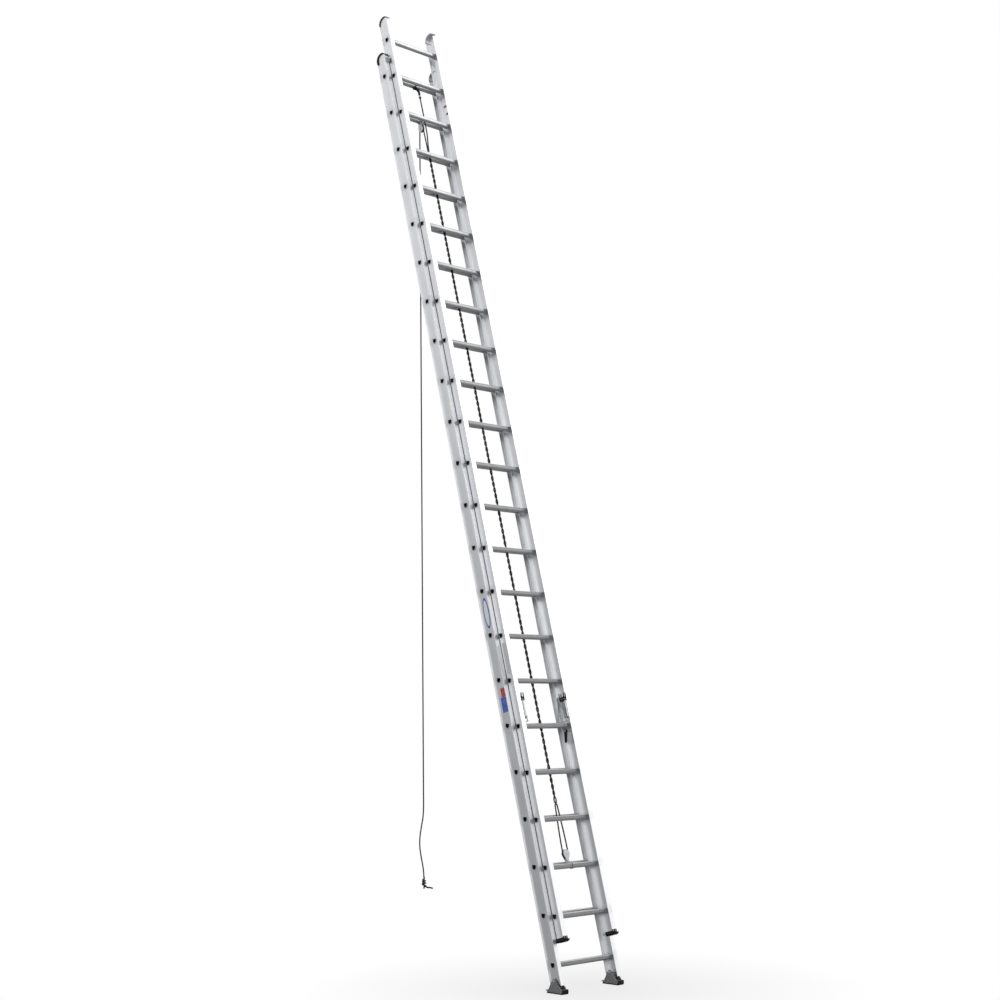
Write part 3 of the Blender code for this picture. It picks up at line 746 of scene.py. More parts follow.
def make_end_cap(section, side, label):
    """Black bumper on the rail's rounded top, thick on the wall side, over a bent metal liner."""
    base = section == "base"
    web = BASE_WEB if base else FLY_WEB
    reach = 0.042 if base else 0.038
    y = 0.0 if base else FLY_Y
    high = BASE_HIGH if base else FLY_HIGH
    outer = crown_curve(y, high, -0.0012, 14)
    inner = list(outer)
    tail = 0.020 if base else 0.004
    thin, thick = (0.0040, 0.0115) if base else (0.0034, 0.0030)
    count = len(outer)
    centre = Vector((y - 0.006, high - 0.055))
    bm = bmesh.new()
    x_low, x_high = web + LIP - reach - 0.0005, web + LIP + 0.0006
    for i in range(count):
        # The bumper's own body deepens towards the wall side
        q = Vector(inner[i])
        share = 1.0 - i / (count - 1)
        inner[i] = tuple(q + (centre - q).normalized() * (thin + thick * share ** 1.2))
    keep = range(0, int(count * 0.86))
    outline = [(outer[0][0], outer[0][1] - tail)] + [outer[i] for i in keep]
    outline += [inner[i] for i in reversed(keep)]
    outline += [(inner[0][0], inner[0][1] - tail)]
    add_soft_prism(bm, outline, 0, *span(side, web + 0.0002, x_high), edge=0.0010)
    rim = [(outer[0][0], outer[0][1] - tail)] + [outer[i] for i in keep]
    skin = [tuple(Vector(p) + (centre - Vector(p)).normalized() * 0.0032) for p in rim]
    add_soft_prism(
        bm, rim + skin[::-1], 0, *span(side, x_low - 0.0004, x_high + 0.0004), edge=0.0012
    )
    under = [tuple(Vector(p) + (centre - Vector(p)).normalized() * 0.0002) for p in skin[1:]]
    back = [tuple(Vector(p) + (centre - Vector(p)).normalized() * 0.0026) for p in skin[1:]]
    add_soft_prism(
        bm, under + back[::-1], 0, *span(side, x_low, web - WALL - 0.0002), edge=0.0007, mark=1
    )
    metal = BASE_METAL if base else FLY_METAL
    return to_piece(f"{section}_end_cap_{label}", bm, section, (PLASTIC, metal))


def make_guide(side, label):
    """Bracket on top of the base rail that keeps the fly rail beside it."""
    bm = bmesh.new()
    z0, z1 = BASE_HIGH - 0.092, BASE_HIGH - 0.048
    # The plate reaches forward over the fly's rear flange, and its foot lies on the base's front flange
    plate = rounded([(-0.0458, z0), (-0.0458, z1), (-0.060, z1 - 0.004), (-0.065, z1 - 0.012),
                     (-0.065, z0 + 0.012), (-0.060, z0 + 0.004)], 0.003)
    add_soft_prism(bm, plate, 0, *span(side, 0.2512, 0.2542), edge=0.0007)
    foot = rounded(box(0.2512, 0.2790, z0, z1), 0.002)
    foot = [(side * x, z) for x, z in foot]
    add_soft_prism(bm, foot, 1, -0.0478, -0.0448, edge=0.0007)
    for z in (z0 + 0.013, z1 - 0.013):
        add_rivet(bm, 1, (side * 0.266, -0.0476, z), -1, 0.0040, 0.0020)
    return to_piece(f"base_guide_{label}", bm, "base", (ZINC,))


def make_boot(side, label):
    """Black moulded boot on the fly rail's bottom end, with a guide tongue to the front."""
    bm = bmesh.new()
    z0, z1 = FLY_LOW - 0.010, FLY_LOW + 0.026
    inner_x = FLY_WEB + LIP - 0.038 - 0.0022
    outer_x = FLY_WEB + LIP + 0.0016
    y_front = FLY_Y - HALF_DEPTH - 0.0026
    y_rear = FLY_Y + HALF_DEPTH - 0.0262
    body = rounded(box(inner_x, outer_x, y_front, y_rear), 0.003)
    body = [(side * x, y) for x, y in body]
    add_soft_prism(bm, body, 2, z0, FLY_LOW - 0.0004, edge=0.0016)
    front = rounded(box(inner_x, outer_x, y_front, y_front + 0.0024), 0.0009)
    add_soft_prism(bm, [(side * x, y) for x, y in front], 2, z0 + 0.001, z1, edge=0.0012)
    for x in (inner_x, outer_x - 0.0013):
        wall = rounded(box(x, x + 0.0013, y_front + 0.0008, y_rear), 0.0004)
        add_soft_prism(bm, [(side * px, y) for px, y in wall], 2, z0 + 0.001, z1 - 0.008, edge=0.0005)
    # Tongue that runs out to the front
    tongue = [(0.002, 0.002), (-0.010, 0.004), (-0.020, 0.012), (-0.021, 0.016), (-0.010, 0.013),
              (0.002, 0.022)]
    tongue = rounded([(y_front + y, z0 + z) for y, z in tongue], 0.0022)
    add_soft_prism(bm, tongue, 0, *span(side, inner_x + 0.004, outer_x - 0.004), edge=0.0012)
    for x in (inner_x + 0.010, outer_x - 0.012):
        add_rivet(bm, 1, (side * x, y_front, FLY_LOW + 0.017), -1, 0.0040, 0.0020, mark=1)
    for k in range(3):
        z = z0 + 0.024 + 0.003 * k
        rib = rounded(box(y_front - 0.0012, y_front + 0.001, z, z + 0.0013), 0.0004, 2)
        add_prism(bm, rib, 0, *span(side, inner_x + 0.017, outer_x - 0.017))
    return to_piece(f"fly_boot_{label}", bm, "fly", (PLASTIC, BOLT_STEEL))


# ---------------------------------------------------------------- rungs

def make_rung(section, k):
    base = section == "base"
    end = BASE_END if base else FLY_END
    web = BASE_WEB if base else FLY_WEB
    y = 0.0 if base else FLY_Y
    z = (0.0 if base else FLY_FIRST) + k * PITCH
    inner_web = web - WALL
    ribs = 44

    def ring(grow, flute):
        points = d_outline(grow, 8, 52)
        out = []
        count = len(points)
        for i, (py, pz) in enumerate(points):
            # Flutes run along the rung, and the flat tread has its own wider ribs
            if pz > 0.0125 and abs(py) < 0.0125:
                wave = 0.5 - 0.5 * math.cos(2 * math.pi * py / 0.005)
            else:
                wave = 0.5 - 0.5 * math.cos(2 * math.pi * ribs * i / count)
            scale = 1.0 - flute * wave / 0.016
            out.append((py * scale, pz * scale))
        return leaned(out, (y, z))

    # Distance along X, growth and flute depth at each station of the outer skin
    reach = 0.0195 if base else 0.024
    stations = [
        (end - 0.0004, -0.0016, 0.0), (end, -0.0006, 0.0), (end - 0.0002, 0.0008, 0.0),
        (end - 0.0009, 0.0017, 0.0), (web + 0.0001, 0.0019, 0.0), (web - 0.0001, -0.0003, 0.0),
        (inner_web + 0.0001, -0.0003, 0.0), (inner_web - 0.0001, 0.0026, 0.0),
        (inner_web - 0.0022, 0.0034, 0.0), (inner_web - 0.0042, 0.0026, 0.0),
        (inner_web - 0.0050, 0.0012, 0.0001), (inner_web - 0.0062, 0.0012, 0.0002),
        (inner_web - 0.0075, 0.0022, 0.0001), (inner_web - 0.0125, 0.0022, 0.0001),
        (inner_web - reach + 0.0028, 0.0010, 0.0003), (inner_web - reach, 0.0, 0.0005),
    ]
    profile = [(x, g, f, 0) for x, g, f in stations]
    profile += [(x, 0.0, 0.0005, 0) for x in (0.16, 0.08, 0.0)]
    mirrored = [(-x, g, f, s) for x, g, f, s in reversed(profile[:-1])]
    outer = profile + mirrored
    # The bore, which takes the painted shade material
    inside = [(-end + 0.0004, -0.0022, 0.0, 1), (-end + 0.02, -0.0022, 0.0, 1), (0.0, -0.0022, 0.0, 1),
              (end - 0.02, -0.0022, 0.0, 1), (end - 0.0004, -0.0022, 0.0, 1)]
    bm = bmesh.new()
    rings = []
    for x, grow, flute, skin in outer + inside:
        rings.append(([bm.verts.new((x, py, pz)) for py, pz in ring(grow, flute)], skin))
    count = len(rings[0][0])
    for a in range(len(rings)):
        (first, skin), (second, skin_b) = rings[a], rings[(a + 1) % len(rings)]
        for i in range(count):
            j = (i + 1) % count
            face = bm.faces.new((first[i], first[j], second[j], second[i]))
            face.material_index = 1 if skin and skin_b else 0
    name = f"{section}_rung_{k + 1:02d}"
    return to_piece(name + "_fluted", bm, section, (RUNG_METAL, PAINTED_RUNG_SHADE), angle=60,
                    weld=False, replaces=(name,))


# ---------------------------------------------------------------- shoes

def make_shoe(side, label):
    body = f"shoe_{label}"
    y, z = -0.018, 0.075
    outer_face, outside = 0.2807, 0.2847
    inner_face, inside = 0.2363, 0.2323
    outline = [(0.038, 0.0105)]
    outline += arc((y, z), 0.016, 18, 157, 12)
    outline += [(-0.074, 0.0305), (-0.084, 0.0260), (-0.084, 0.0105)]
    plate = rounded(outline, [0.002] + [0.0] * 13 + [0.010, 0.003, 0.001])
    bm = bmesh.new()

    def across(shape, a, b, edge=0.0009, mark=0):
        add_soft_prism(bm, shape, 0, *span(side, a, b), edge=edge, mark=mark)

    across(plate, outer_face, outside)
    across(plate, inside, inner_face)
    # Raised ribs down both slopes of each cheek, a boss round the pin and a web between them
    rear_rib = rounded([(-0.004, 0.083), (0.036, 0.0115), (0.029, 0.0115), (-0.010, 0.079)], 0.0012)
    front_rib = rounded([(-0.033, 0.081), (-0.026, 0.083), (-0.064, 0.0330), (-0.073, 0.0315)], 0.0012)
    foot_rib = rounded([(-0.083, 0.0115), (0.036, 0.0115), (0.034, 0.0155), (-0.082, 0.0155)], 0.0010)
    cross_rib = rounded([(-0.045, 0.036), (0.014, 0.036), (0.0125, 0.0385), (-0.0435, 0.0385)], 0.0008)
    for rib in (rear_rib, front_rib, foot_rib, cross_rib):
        across(rib, outside - 0.0005, outside + 0.0014, 0.0006)
        across(rib, inside - 0.0014, inside + 0.0005, 0.0006)
    for face, way in ((outside, 1), (inside, -1)):
        boss = [(0.0, 0.0125), (side * way * 0.0014, 0.0120), (side * way * 0.0018, 0.0105)]
        add_lathe(bm, boss, 0, (side * face, y, z), 32)
    # Metal plate over the rubber, with its raised toe
    sole = [(-0.088, 0.0062), (0.042, 0.0062), (0.042, 0.0112), (-0.078, 0.0112)]
    sole += arc((-0.0740, 0.0200), 0.0090, 250, 180, 6)
    sole += [(-0.0835, 0.0255), (-0.0845, 0.0300), (-0.0875, 0.0305)]
    across(rounded(sole, 0.0008, 2), inside - 0.0004, outside + 0.0004, 0.0009)
    # Claws on the wall side
    middle = (inside + outside) / 2
    for k in (-1, 0, 1):
        centre = middle + 0.0135 * k
        steps = ((0.034, 0.0058, 0.0052), (0.050, 0.0050, 0.0040), (0.0655, 0.0012, 0.0012))
        rings = []
        for py, half_x, half_z in steps:
            pz = 0.0115 + (py - 0.034) * 0.16
            rings.append([bm.verts.new((side * (centre + sx * half_x), py, pz + sz * half_z))
                          for sx, sz in ((-1, -0.9), (1, -0.9), (0.75, 1.0), (-0.75, 1.0))])
        cap_rings(bm, rings)
        bridge(bm, rings)
    to_piece(f"shoe_{label}_casting", bm, body, (SHOE_METAL,), leaning=False, replaces=(body,))

    pad = bmesh.new()
    tread = [(-0.0885, 0.0010)]
    count = 14
    step = (0.0425 + 0.0870) / count
    for i in range(count):
        a = -0.0870 + step * i
        tread += [(a + 0.0012, 0.0), (a + step - 0.0032, 0.0), (a + step - 0.0026, 0.0018),
                  (a + step - 0.0006, 0.0018)]
    tread += [(0.0430, 0.0012), (0.0430, 0.0080), (0.0415, 0.0084), (-0.0780, 0.0066)]
    tread += arc((-0.0765, 0.0180), 0.0108, 255, 185, 5)
    tread += [(-0.0876, 0.0270), (-0.0888, 0.0290), (-0.0920, 0.0285), (-0.0930, 0.0140)]
    tread += [(-0.0912, 0.0045)]
    low, high = span(side, inside - 0.0010, outside + 0.0010)
    add_soft_prism(pad, tread, 0, low, high, edge=0.0009)
    for x in (inside + 0.011, outside - 0.011):
        for py in (-0.060, 0.018):
            add_rivet(pad, 2, (side * x, py, 0.0112), 1, 0.0042, 0.0022, mark=1)
    to_piece(f"shoe_{label}_sole", pad, body, (RUBBER, BOLT_STEEL), leaning=False)

    pin = bmesh.new()
    add_bolt(pin, 0, (side * (outside + 0.0017), y, z), side, 0.0078, 0.0052)
    add_bolt(pin, 0, (side * (inside - 0.0017), y, z), -side, 0.0078, 0.0064)
    shank = [(-0.0263, 0.0046), (-0.0258, 0.0050), (0.0258, 0.0050), (0.0263, 0.0046)]
    add_lathe(pin, shank, 0, (side * middle, y, z), 24)
    thread = [(-0.0345, 0.0036), (-0.0340, 0.0042), (-0.0262, 0.0042)]
    add_lathe(pin, [(side * d, r) for d, r in thread], 0, (side * middle, y, z), 20)
    to_piece(f"shoe_{label}_bolt", pin, body, (BOLT_STEEL,), leaning=False)


# ---------------------------------------------------------------- locks and flippers

LOCK_RUNG_Z = FLY_FIRST + 4 * PITCH
LOCK_Z = LOCK_RUNG_Z + 0.0565
LOCK_Y = -0.094


def make_lock(side, label):
    body = f"lock_{label}"
    half = 0.0165
    tip = 0.128
    reach = 0.058
    lip = 0.013
    inner, outer = 0.1925, 0.2065
    shape = [(half, 0.0)]
    shape += arc((0, 0), half, 0, -180, 16)[1:-1]
    shape += [(-half, 0.0), (-half, tip - 0.010), (-half + 0.010, tip), (reach - 0.003, tip),
              (reach, tip - 0.003), (reach, tip - lip), (half + 0.008, tip - lip),
              (half, tip - lip - 0.008)]
    radii = [0.0] * 17 + [0.004, 0.004, 0.002, 0.002, 0.002, 0.003, 0.003]
    hook = [(y + LOCK_Y, z + LOCK_Z) for y, z in rounded(shape, radii, 2)]
    bm = bmesh.new()
    # A thin web with raised borders, so that the casting has windows as thick sheet does
    add_soft_prism(bm, hook, 0, *span(side, inner + 0.0045, outer - 0.0045), edge=0.0008)

    def border(points, width=0.0042):
        for a, b in zip(points, points[1:]):
            a, b = Vector(a), Vector(b)
            d = (b - a).normalized()
            n = Vector((-d.y, d.x)) * width / 2
            bar = [tuple(a - n - d * width * 0.4), tuple(b - n + d * width * 0.4),
                   tuple(b + n + d * width * 0.4), tuple(a + n - d * width * 0.4)]
            bar = [(y + LOCK_Y, z + LOCK_Z) for y, z in rounded(bar, width * 0.35, 3)]
            add_soft_prism(bm, bar, 0, *span(side, inner, outer), edge=0.0009)

    m = 0.0023
    border([(half - m, 0.0), (half - m, tip - lip - 0.006), (half + 0.007, tip - lip + m),
            (reach - m, tip - lip + m), (reach - m, tip - m), (-half + 0.010, tip - m),
            (-half + m, tip - 0.011), (-half + m, 0.0)])
    border([(half - 0.006, 0.016), (-half + 0.004, 0.060), (half - 0.006, 0.104)], 0.0036)
    ring = [(0.0, 0.0160), (side * 0.0140, 0.0160), (side * 0.0140, 0.0085), (0.0, 0.0085)]
    add_lathe(bm, ring, 0, (side * inner, LOCK_Y, LOCK_Z), 40, closed=True)
    to_piece(f"lock_{label}_hook", bm, body, (LOCK_METAL,), replaces=(body,))

    # Black fork on the hook's end, open upwards
    fork = bmesh.new()
    low = tip - 0.026
    u = [(-0.020, low), (0.022, low), (0.0245, low + 0.004), (0.0250, tip + 0.026),
         (0.0215, tip + 0.030), (0.0185, tip + 0.026), (0.0175, tip + 0.006), (0.012, tip + 0.0012),
         (-0.010, tip + 0.0012),
         (-0.0155, tip + 0.006), (-0.0165, tip + 0.026), (-0.0195, tip + 0.030), (-0.0230, tip + 0.026),
         (-0.0225, low + 0.004)]
    u = [(y + LOCK_Y, z + LOCK_Z) for y, z in rounded(u, 0.0016, 2)]
    add_soft_prism(fork, u, 0, *span(side, outer + 0.0002, outer + 0.0032), edge=0.0008)
    add_soft_prism(fork, u, 0, *span(side, inner - 0.0032, inner - 0.0002), edge=0.0008)
    for y in (-0.008, 0.008):
        centre = (side * (inner - 0.0032), LOCK_Y + y, LOCK_Z + tip - 0.012)
        add_rivet(fork, 0, centre, -side, 0.0030, 0.0015, mark=1)
    to_piece(f"lock_{label}_fork", fork, body, (PLASTIC, BOLT_STEEL))

    # Pin through the hook to the rail's web, with a return spring wound round it
    pin = bmesh.new()
    web_face = FLY_WEB - WALL - 0.0004
    shank = [(inner - 0.0122, 0.0050), (inner - 0.0118, 0.0068), (web_face - 0.002, 0.0068),
             (web_face, 0.0060)]
    add_lathe(pin, [(side * x, r) for x, r in shank], 0, (0, LOCK_Y, LOCK_Z), 28)
    head = [(inner - 0.0134, 0.0060), (inner - 0.0126, 0.0094), (inner - 0.0094, 0.0098)]
    add_lathe(pin, [(side * x, r) for x, r in head], 0, (0, LOCK_Y, LOCK_Z), 28)
    coil = []
    turns = 7
    for i in range(turns * 16 + 1):
        a = 2 * math.pi * i / 16
        x = outer + 0.003 + (web_face - outer - 0.006) * i / (turns * 16)
        coil.append(Vector((side * x, LOCK_Y + 0.0096 * math.cos(a), LOCK_Z + 0.0096 * math.sin(a))))
    add_tube(pin, coil, 0.0010, 8)
    bends = ((0, 0, 0), (0, 0.001, 0.020), (-side * 0.001, 0.002, 0.044))
    arm = [coil[0] + Vector(bend) for bend in bends]
    add_tube(pin, smooth_path(arm, 0.005), 0.0010, 8)
    to_piece(f"lock_{label}_pin", pin, body, (BOLT_STEEL,), weld=False)


def make_lock_frame(side, label):
    """A-shaped casting beside the hook, held on the fly rung and carrying the hook's pin."""
    bm = bmesh.new()
    x0, x1 = 0.1836, 0.1872
    z0 = LOCK_RUNG_Z

    def bar(a, b, width):
        a, b = Vector(a), Vector(b)
        d = (b - a).normalized()
        n = Vector((-d.y, d.x)) * width / 2
        over = d * width / 2
        shape = [a - n - over, b - n + over, b + n + over, a + n - over]
        shape = rounded([tuple(p) for p in shape], width * 0.4, 3)
        add_soft_prism(bm, shape, 0, *span(side, x0, x1), edge=0.0008)

    rear, front, apex = (-0.0260, z0 + 0.024), (-0.1060, z0 + 0.024), (-0.0600, z0 + 0.186)
    bar(rear, apex, 0.0056)
    bar(front, apex, 0.0066)
    bar(rear, front, 0.0060)
    bar((-0.0350, z0 + 0.070), (-0.0930, z0 + 0.070), 0.0042)
    bar((-0.0930, z0 + 0.070), (-0.0440, z0 + 0.110), 0.0036)
    for y, z, r in ((LOCK_Y, LOCK_Z, 0.0125), (apex[0], apex[1], 0.0062)):
        ring = [(0.0, r), (side * (x1 - x0), r), (side * (x1 - x0), r * 0.58), (0.0, r * 0.58)]
        add_lathe(bm, ring, 0, (side * x0, y, z), 32, closed=True)
    # Saddle that holds it to the rung
    wrap = leaned(d_outline(0.0036, 5, 20), (FLY_Y, z0))
    hollow = leaned(d_outline(0.0006, 5, 20), (FLY_Y, z0))
    add_sleeve(bm, wrap, hollow, *span(side, 0.1780, 0.1930))
    for y in (-0.0790, -0.0500):
        post = rounded([(y - 0.0045, z0 + 0.012), (y + 0.0045, z0 + 0.012), (y + 0.0035, z0 + 0.026),
                        (y - 0.0035, z0 + 0.026)], 0.001)
        add_soft_prism(bm, post, 0, *span(side, 0.1822, 0.1886), edge=0.0008)
        add_rivet(bm, 0, (side * 0.1836, y, z0 + 0.024), -side, 0.0026, 0.0013)
    return to_piece(f"lock_frame_{label}", bm, "fly", (LOCK_METAL,))


def make_flipper(side, label):
    body = f"flipper_{label}"
    py, pz = -0.062, LOCK_RUNG_Z - 0.036
    half, length = 0.011, 0.078
    inner, outer = 0.1945, 0.2045
    blade = arc((0, 0), half, 0, 180, 14)
    blade += [(-half * 0.80, -length * 0.45), (-half * 0.66, -length + 0.010)]
    blade += arc((0, -length + 0.0065), 0.0062, 200, 340, 8)
    blade += [(half * 0.66, -length + 0.010), (half * 0.80, -length * 0.45)]
    bm = bmesh.new()
    shape = leaned(blade, (py, pz))
    add_soft_prism(bm, shape, 0, *span(side, inner + 0.0028, outer - 0.0028), edge=0.0008)
    hollow = [(y * 0.72, -0.5 * length + (z + 0.5 * length) * 0.90) for y, z in blade]
    add_sleeve(bm, shape, leaned(hollow, (py, pz)), *span(side, inner, outer))
    boss = [(0.0, 0.0086), (side * 0.0100, 0.0086)]
    add_lathe(bm, boss, 0, (side * inner, py, pz), 28)
    to_piece(f"flipper_{label}_tongue", bm, body, (PLASTIC,), replaces=(body,))
    pin = bmesh.new()
    web_face = FLY_WEB - WALL - 0.0004
    profile = [(inner - 0.0042, 0.0046), (inner - 0.0034, 0.0060), (inner - 0.0004, 0.0062),
               (inner - 0.0004, 0.0040), (web_face, 0.0040)]
    add_lathe(pin, [(side * x, r) for x, r in profile], 0, (0, py, pz), 24)
    to_piece(f"flipper_{label}_pin", pin, body, (BOLT_STEEL,))


# ---------------------------------------------------------------- blocks and sheaves

UP_Y, UP_Z = -0.0072, 20 * PITCH - 0.070
LOW_Y, LOW_Z = -0.033, FLY_FIRST + PITCH + 0.080
UP_R, LOW_R = 0.019, 0.0245


def make_sheave(name, axis, centre, rope_radius, body):
    rim = rope_radius + 0.005
    w = 0.0072
    groove = [(x, rope_radius + r) for x, r in arc((0, 0), ROPE + 0.0006, 0, -180, 14)]
    face = [(w, 0.0085), (w - 0.0012, 0.0092), (w - 0.0016, rope_radius * 0.55),
            (w - 0.0008, rope_radius * 0.72), (w, rim - 0.0035), (w, rim - 0.0006), (w - 0.0005, rim),
            (w - 0.0012, rim)]
    profile = [(-w, 0.0045), (w, 0.0045)] + face + groove + [(-x, r) for x, r in reversed(face)]
    bm = bmesh.new()
    add_lathe(bm, profile, axis, centre, 64, closed=True)
    return to_piece(name + "_wheel", bm, body, (SHEAVE_METAL,), replaces=(name,))


def rung_clamp(bm, y, z, half_width):
    """A strap bent to the rung's own shape."""
    wrap = leaned(d_outline(0.0038, 6, 24), (y, z))
    hollow = leaned(d_outline(0.0008, 6, 24), (y, z))
    add_sleeve(bm, wrap, hollow, -half_width, half_width)


def make_upper_block():
    inner = 0.0080
    reach = UP_R + 0.004
    top = 20 * PITCH - 0.0195
    bm = bmesh.new()
    cheek = arc((UP_Y, UP_Z), reach, 180, 360, 24) + [(UP_Y + reach * 0.97, UP_Z + 0.010)]
    cheek += [(UP_Y + reach * 0.52, top), (UP_Y - reach * 0.52, top)]
    cheek += [(UP_Y - reach * 0.97, UP_Z + 0.010)]
    cheek = rounded(cheek, [0.0] * 25 + [0.006, 0.002, 0.002, 0.006], 3)
    for a in (inner, -inner - 0.0025):
        add_soft_prism(bm, cheek, 0, a, a + 0.0025, edge=0.0007)
    spacer = rounded(box(UP_Y - 0.010, UP_Y + 0.010, UP_Z + 0.0275, top), 0.002)
    add_soft_prism(bm, spacer, 0, -inner - 0.0002, inner + 0.0002, edge=0.0004)
    rung_clamp(bm, 0.0, 20 * PITCH, 0.008)
    tab = rounded(box(UP_Y - 0.008, UP_Y + 0.008, top - 0.004, top + 0.005), 0.002)
    add_soft_prism(bm, tab, 0, -0.0078, 0.0078, edge=0.0006)
    to_piece("upper_block_body", bm, "base", (ZINC,), replaces=("upper_block",))
    pin = bmesh.new()
    for way in (-1, 1):
        head = [(way * (inner + 0.0022), 0.0066), (way * (inner + 0.0034), 0.0064),
                (way * (inner + 0.0044), 0.0048), (way * (inner + 0.0048), 0.0020)]
        add_lathe(pin, head, 0, (0, UP_Y, UP_Z), 28)
        add_bolt(pin, 0, (way * (inner + 0.0001), UP_Y, top - 0.010), way, 0.0042, 0.0050)
    add_lathe(pin, [(-0.0105, 0.0040), (0.0105, 0.0040)], 0, (0, UP_Y, UP_Z), 24)
    to_piece("upper_block_axle", pin, "base", (BOLT_STEEL,))


def make_lower_block():
    inner = 0.0080
    reach = LOW_R + 0.004
    rung_z = FLY_FIRST + PITCH
    foot = rung_z + 0.030
    bm = bmesh.new()
    cheek = arc((0, LOW_Z), reach, -8, 188, 26)
    cheek += [(-0.0085, foot + 0.006), (-0.0055, foot), (0.0055, foot), (0.0085, foot + 0.006)]
    cheek = rounded(cheek, [0.0] * 27 + [0.004, 0.002, 0.002, 0.004], 3)
    for a in (LOW_Y + inner, LOW_Y - inner - 0.0025):
        add_soft_prism(bm, cheek, 1, a, a + 0.0025, edge=0.0007)
    spacer = rounded(box(-0.0078, 0.0078, foot + 0.001, LOW_Z - 0.0335), 0.002)
    add_soft_prism(bm, spacer, 1, LOW_Y - inner - 0.0002, LOW_Y + inner + 0.0002, edge=0.0004)
    rung_clamp(bm, FLY_Y, rung_z, 0.0080)
    link = rounded([(FLY_Y + 0.0185, rung_z + 0.004), (LOW_Y - 0.004, rung_z + 0.010),
                    (LOW_Y - 0.004, foot + 0.005), (LOW_Y - 0.0115, foot + 0.005),
                    (LOW_Y - 0.0125, rung_z + 0.019), (FLY_Y + 0.0165, rung_z + 0.012)], 0.0016)
    add_soft_prism(bm, link, 0, -0.0058, 0.0058, edge=0.0008)
    to_piece("lower_block_body", bm, "fly", (ZINC,), replaces=("lower_block",))
    pin = bmesh.new()
    for way in (-1, 1):
        head = [(way * (inner + 0.0022), 0.0068), (way * (inner + 0.0034), 0.0066),
                (way * (inner + 0.0044), 0.0050), (way * (inner + 0.0048), 0.0020)]
        add_lathe(pin, head, 1, (0, LOW_Y, LOW_Z), 28)
    add_lathe(pin, [(-0.0105, 0.0040), (0.0105, 0.0040)], 1, (0, LOW_Y, LOW_Z), 24)
    # Ring between the block and its clamp
    ring = [Vector((0.0078 * math.cos(a), LOW_Y - 0.0145, foot - 0.004 + 0.0078 * math.sin(a)))
            for a in [2 * math.pi * i / 24 for i in range(25)]]
    add_tube(pin, ring, 0.0014, 10, cap=False)
    bmesh.ops.remove_doubles(pin, verts=pin.verts, dist=0.00002)
    to_piece("lower_block_axle", pin, "fly", (BOLT_STEEL,))


def make_dead_end():
    """Oval ring under the top rung and the pressed ferrule that closes the rope's eye."""
    z_rung = 21 * PITCH
    bm = bmesh.new()
    x = 0.022
    oval = []
    wrap = leaned(d_outline(0.0048, 8, 30), (0.0, z_rung))
    for py, pz in wrap:
        oval.append(Vector((x + (py * 0.25), py, pz)))
    oval.append(oval[0].copy())
    add_tube(bm, oval, 0.0032, 12, cap=False)
    bmesh.ops.remove_doubles(bm, verts=bm.verts, dist=0.00002)
    flat = [Vector((x + 0.030 * math.cos(a), -0.010 + 0.010 * math.sin(a), z_rung - 0.0265))
            for a in [2 * math.pi * i / 40 for i in range(41)]]
    add_tube(bm, flat, 0.0036, 12, cap=False)
    bmesh.ops.remove_doubles(bm, verts=bm.verts, dist=0.00002)
    to_piece("rope_ring", bm, "base", (PLASTIC,))
    sleeve = bmesh.new()
    top = z_rung - 0.029
    bends = ((-0.012, 0.0), (-0.020, 0.012), (-0.0310, 0.032), (LOW_Y, 0.046), (LOW_Y, 0.066))
    points = [Vector((x, y, top - drop)) for y, drop in bends]
    line = smooth_path(points, 0.003)
    count = len(line) - 1
    radii = []
    for i in range(count + 1):
        t = i / count
        crimp = 0.0009 if abs((t * 5) % 1.0 - 0.5) < 0.14 else 0.0
        radii.append(0.0078 + 0.0012 * math.sin(math.pi * t) ** 0.4 - crimp)
    add_tube(sleeve, line, radii, 20)
    collar = [(0.0, 0.0058), (-0.0010, 0.0066), (-0.0120, 0.0066), (-0.0130, 0.0058)]
    add_lathe(sleeve, collar, 2, (x, LOW_Y, top - 0.0664), 24, mark=1)
    bead = [(0.0, 0.0060), (-0.0020, 0.0084), (-0.0060, 0.0094), (-0.0110, 0.0084), (-0.0130, 0.0060)]
    add_lathe(sleeve, bead, 2, (x, LOW_Y, top - 0.0796), 28)
    to_piece("rope_ferrule", sleeve, "base", (PLASTIC, ZINC))


# ---------------------------------------------------------------- ropes

def rope_piece(name, bm, body):
    return to_piece(name, bm, body, (ROPE_LOOK,), weld=False, replaces=("hoist_rope",))


